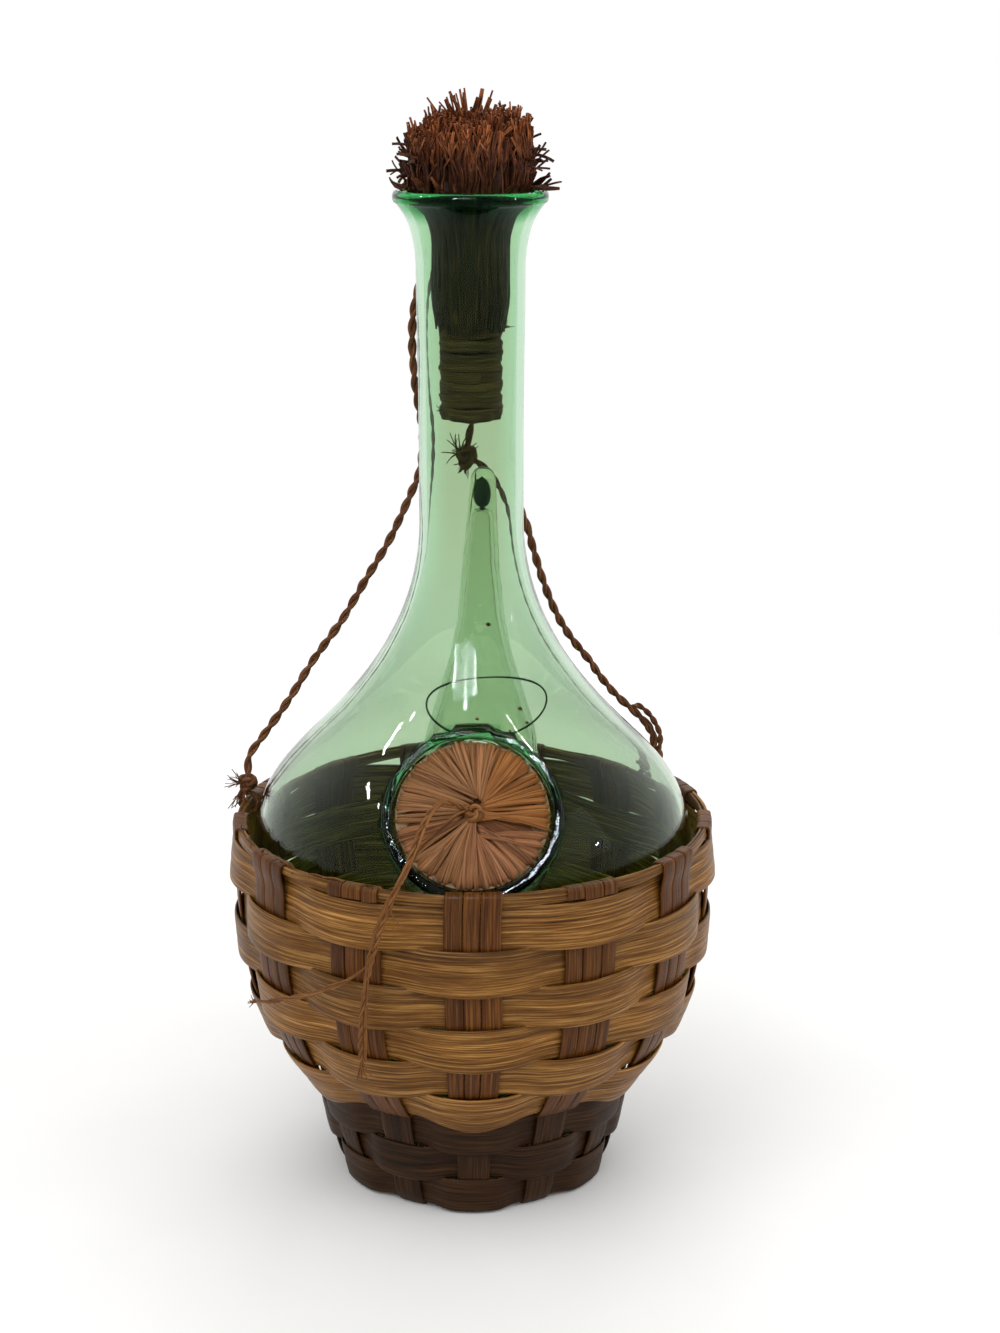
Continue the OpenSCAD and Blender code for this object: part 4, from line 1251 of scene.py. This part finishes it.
def strand(shape, points, width, mark, twist, seed):
    """A flat raffia strand that turns over as it runs."""
    rng = random.Random(seed)
    line = spline(points, 1.2)
    faces, widths = [], []
    for i, s in enumerate(travelled(line)):
        g = twist * s + 0.8 * sin(s * 0.21 + mark)
        n = Vector((line[i].x, line[i].y, 0)).normalized()
        faces.append(n * cos(g) + Vector((0, 0, 1)) * sin(g) + Vector((0.2, 0, 0.05)))
        widths.append(width * (0.75 + 0.4 * wobble(s * 0.2, mark, 0.5)) + rng.uniform(0, 0.1))
    ribbon(shape, line, faces, widths, 0.35, mark, crown=0.6)


def make_plug():
    rng = random.Random(61)
    make_cover(rng)

    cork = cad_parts["plug_cork"]
    for slot in cork.material_slots:
        slot.material = CORK
    if not cork.material_slots:
        cork.data.materials.append(CORK)

    shape = Shape()
    centre = plug_point(0, 0, 2.1)
    knot(shape, centre, 3.2, 0.85, (0.9, 0.3), 71)
    knot(shape, centre + Vector((0.8, 0, -0.8)), 2.6, 0.75, (0.2, 1.2), 72)
    loop = ((0, 0, 0), (2.2, -0.8, 1.0), (3.6, -0.2, -0.6), (2.6, 0.6, -3.2))
    strand(shape, [centre + Vector(d) for d in loop], 1.6, 3.1, 0.1, 74)
    fray(shape, centre, Vector((0.8, -0.6, 0.3)), 4.5, 6, 0.4, 0.28, 73, 0.6)
    top = shape.piece("plug_raffia_knot", TAIL_RAFFIA, PLUG, "raffia", "plug_knot")

    shape = Shape()
    side = [Vector(p) for p in ((-31, -85.0, 112), (-33.4, -84.2, 107), (-38, -80.6, 101.5),
                                (-45.4, -74.6, 95.5), (-53, -68.2, 90), (-60.4, -60.4, 85.5),
                                (-68, -50.4, 80), (-72.5, -43, 77))]
    strand(shape, side, 2.0, 7.7, 0.16, 84)
    strand(shape, [p + Vector((0.6, -0.6, 0.9)) for p in side[:7]], 1.3, 9.3, 0.22, 85)
    fray(shape, side[-1] - Vector((0.5, 0, 0)), Vector((-0.5, 0.7, -0.5)), 5, 9, 0.3, 0.26, 86, 0.5)
    main = [Vector(p) for p in TAIL_ROUTE]
    beside = [p + Vector((-1.6 * sin(i * 0.6), -0.7, 0)) for i, p in enumerate(main[5:])]
    strand(shape, beside, 1.3, 1.4, 0.22, 87)
    beside = [p + Vector((1.3 * sin(i * 0.7), -0.6, 0.4)) for i, p in enumerate(main[2:12])]
    strand(shape, beside, 1.1, 2.8, 0.3, 88)
    beside = [main[0] + Vector(d) for d in ((0, 0, 0), (-4, -4, -1), (-9, -6, -5.5), (-15, -10.5, -10))]
    strand(shape, beside + [main[6] + Vector((0, -1.2, 0))], 1.6, 4.4, 0.1, 89)
    fray(shape, main[-1], Vector((0.05, 0.1, -1)), 9, 10, 0.14, 0.3, 81, 0.3)
    fray(shape, Vector((-26, -85.6, 127.5)), Vector((0.2, -0.4, -0.9)), 14, 3, 0.2, 0.28, 83, 0.3)
    wisps = shape.piece("plug_tail_wisps", TAIL_RAFFIA, PLUG, "raffia")
    make_cord("plug_tail_raffia", "plug_tail", TAIL_ROUTE, TAIL_D, 8.0, TAIL_RAFFIA, PLUG, "raffia", 6.0,
              length=0.115, far_end="bare", stiffness="limp", lay="hanging", with_pieces=[top, wisps])


make_plug()


# ---- floor, light and background ----
def make_stage():
    n = Nodes("pale_floor")
    mottle = n.noise(n.node("TexCoord").outputs["Object"], 6.0, 3.0, 0.5)
    colour = n.ramp(mottle, (0.3, (0.8, 0.81, 0.82)), (0.7, (0.86, 0.865, 0.87)))
    n.link(colour, n.shader.inputs["Base Color"])
    n.shade(Roughness=0.6, Specular_IOR_Level=0.0)
    mesh = bpy.data.meshes.new("floor")
    half, back = 3.0, 0.72
    mesh.from_pydata([(-half, -half, 0), (half, -half, 0), (half, back, 0), (-half, back, 0)], [],
                     [(0, 1, 2, 3)])
    mesh.materials.append(n.material)
    new_object("floor", mesh)


def maths(tree, operation, *values):
    """A math node over two values, each an output or a number."""
    made = tree.nodes.new("ShaderNodeMath")
    made.operation = operation
    for value, socket in zip(values, made.inputs):
        if isinstance(value, float):
            socket.default_value = value
        else:
            tree.links.new(value, socket)
    return made.outputs[0]


def make_world():
    world = bpy.data.worlds.new("studio")
    bpy.context.scene.world = world
    world.use_nodes = True
    tree = world.node_tree
    lit = tree.nodes["Background"]
    lit.inputs["Color"].default_value = (1.0, 0.985, 0.96, 1)
    lit.inputs["Strength"].default_value = 0.92
    white = tree.nodes.new("ShaderNodeBackground")
    white.inputs["Color"].default_value = (1, 1, 1, 1)
    white.inputs["Strength"].default_value = 1.0
    path = tree.nodes.new("ShaderNodeLightPath")
    mix = tree.nodes.new("ShaderNodeMixShader")
    seen = path.outputs["Is Camera Ray"]
    for name in ("Is Glossy Ray", "Is Transmission Ray"):
        seen = maths(tree, "MAXIMUM", seen, path.outputs[name])
    # white only as long as the ray has met no dull surface
    first = maths(tree, "LESS_THAN", path.outputs["Diffuse Depth"], 0.5)
    tree.links.new(maths(tree, "MULTIPLY", first, seen), mix.inputs[0])
    tree.links.new(lit.outputs[0], mix.inputs[1])
    tree.links.new(white.outputs[0], mix.inputs[2])
    tree.links.new(mix.outputs[0], tree.nodes["World Output"].inputs["Surface"])


def make_light(name, place, size, power, aim=(0, 0, 0.15), long=None):
    """An area lamp; long is its height where it isn't square."""
    lamp = bpy.data.lights.new(name, "AREA")
    lamp.shape = "RECTANGLE"
    lamp.size = size
    lamp.size_y = long or size
    lamp.energy = power
    obj = new_object(name, lamp)
    obj.location = place
    obj.rotation_euler = (Vector(aim) - Vector(place)).to_track_quat("-Z", "Y").to_matrix().to_euler()
    obj.visible_camera = False
    obj.visible_transmission = False
    return obj


GLEAM = 260


def make_gleams():
    """Lamps that only the glass mirrors: a window of three panes and four small lamps."""
    receivers = bpy.data.collections.new("glass_receivers")
    receivers.objects.link(bpy.data.objects["glass_bottle"])
    for name, place, aim, size, long in (
            ("pane_left", (-0.40, -0.86, 1.06), (-0.005, -0.03, 0.188), 0.07, 0.34),
            ("pane_middle", (-0.15, -0.88, 1.09), (-0.002, -0.03, 0.188), 0.045, 0.52),
            ("pane_right", (0.07, -0.89, 1.09), (0.001, -0.03, 0.188), 0.07, 0.34),
            ("lamp_left", (-0.826, -0.24, 1.106), (-0.02, -0.035, 0.174), 0.065, 0.03),
            ("lamp_far_left", (-0.873, -0.03, 1.08), (-0.034, -0.05, 0.153), 0.14, 0.03),
            ("tube_right", (0.62, -0.32, 1.21), (0.02, -0.043, 0.167), 0.46, 0.012),
            ("lamp_low_right", (1.136, -0.405, 0.629), (0.04, -0.059, 0.138), 0.05, 0.05)):
        lamp = make_light(name, place, size, GLEAM * pi * size * long, aim, long)
        lamp.data.color = (1.0, 0.97, 0.88) if name.startswith(("lamp", "tube")) else (0.93, 0.98, 1.0)
        lamp.visible_diffuse = False
        lamp.data.use_nodes = True
        tree = lamp.data.node_tree
        path = tree.nodes.new("ShaderNodeLightPath")
        first = maths(tree, "LESS_THAN", path.outputs["Diffuse Depth"], 0.5)
        tree.links.new(first, tree.nodes["Emission"].inputs["Strength"])
        lamp.light_linking.receiver_collection = receivers


make_stage()
make_world()
key = make_light("key", (-0.7, -0.9, 1.6), 1.6, 11)
key.visible_glossy = False
make_light("fill", (1.3, -0.7, 1.0), 1.0, 6)
make_light("back", (0.2, 1.2, 1.3), 1.0, 7)
sheen = make_light("sheen", (-0.2, -0.95, 1.15), 0.45, 16)
sheen.visible_diffuse = False
make_gleams()
bpy.context.scene.view_settings.view_transform = "Standard"
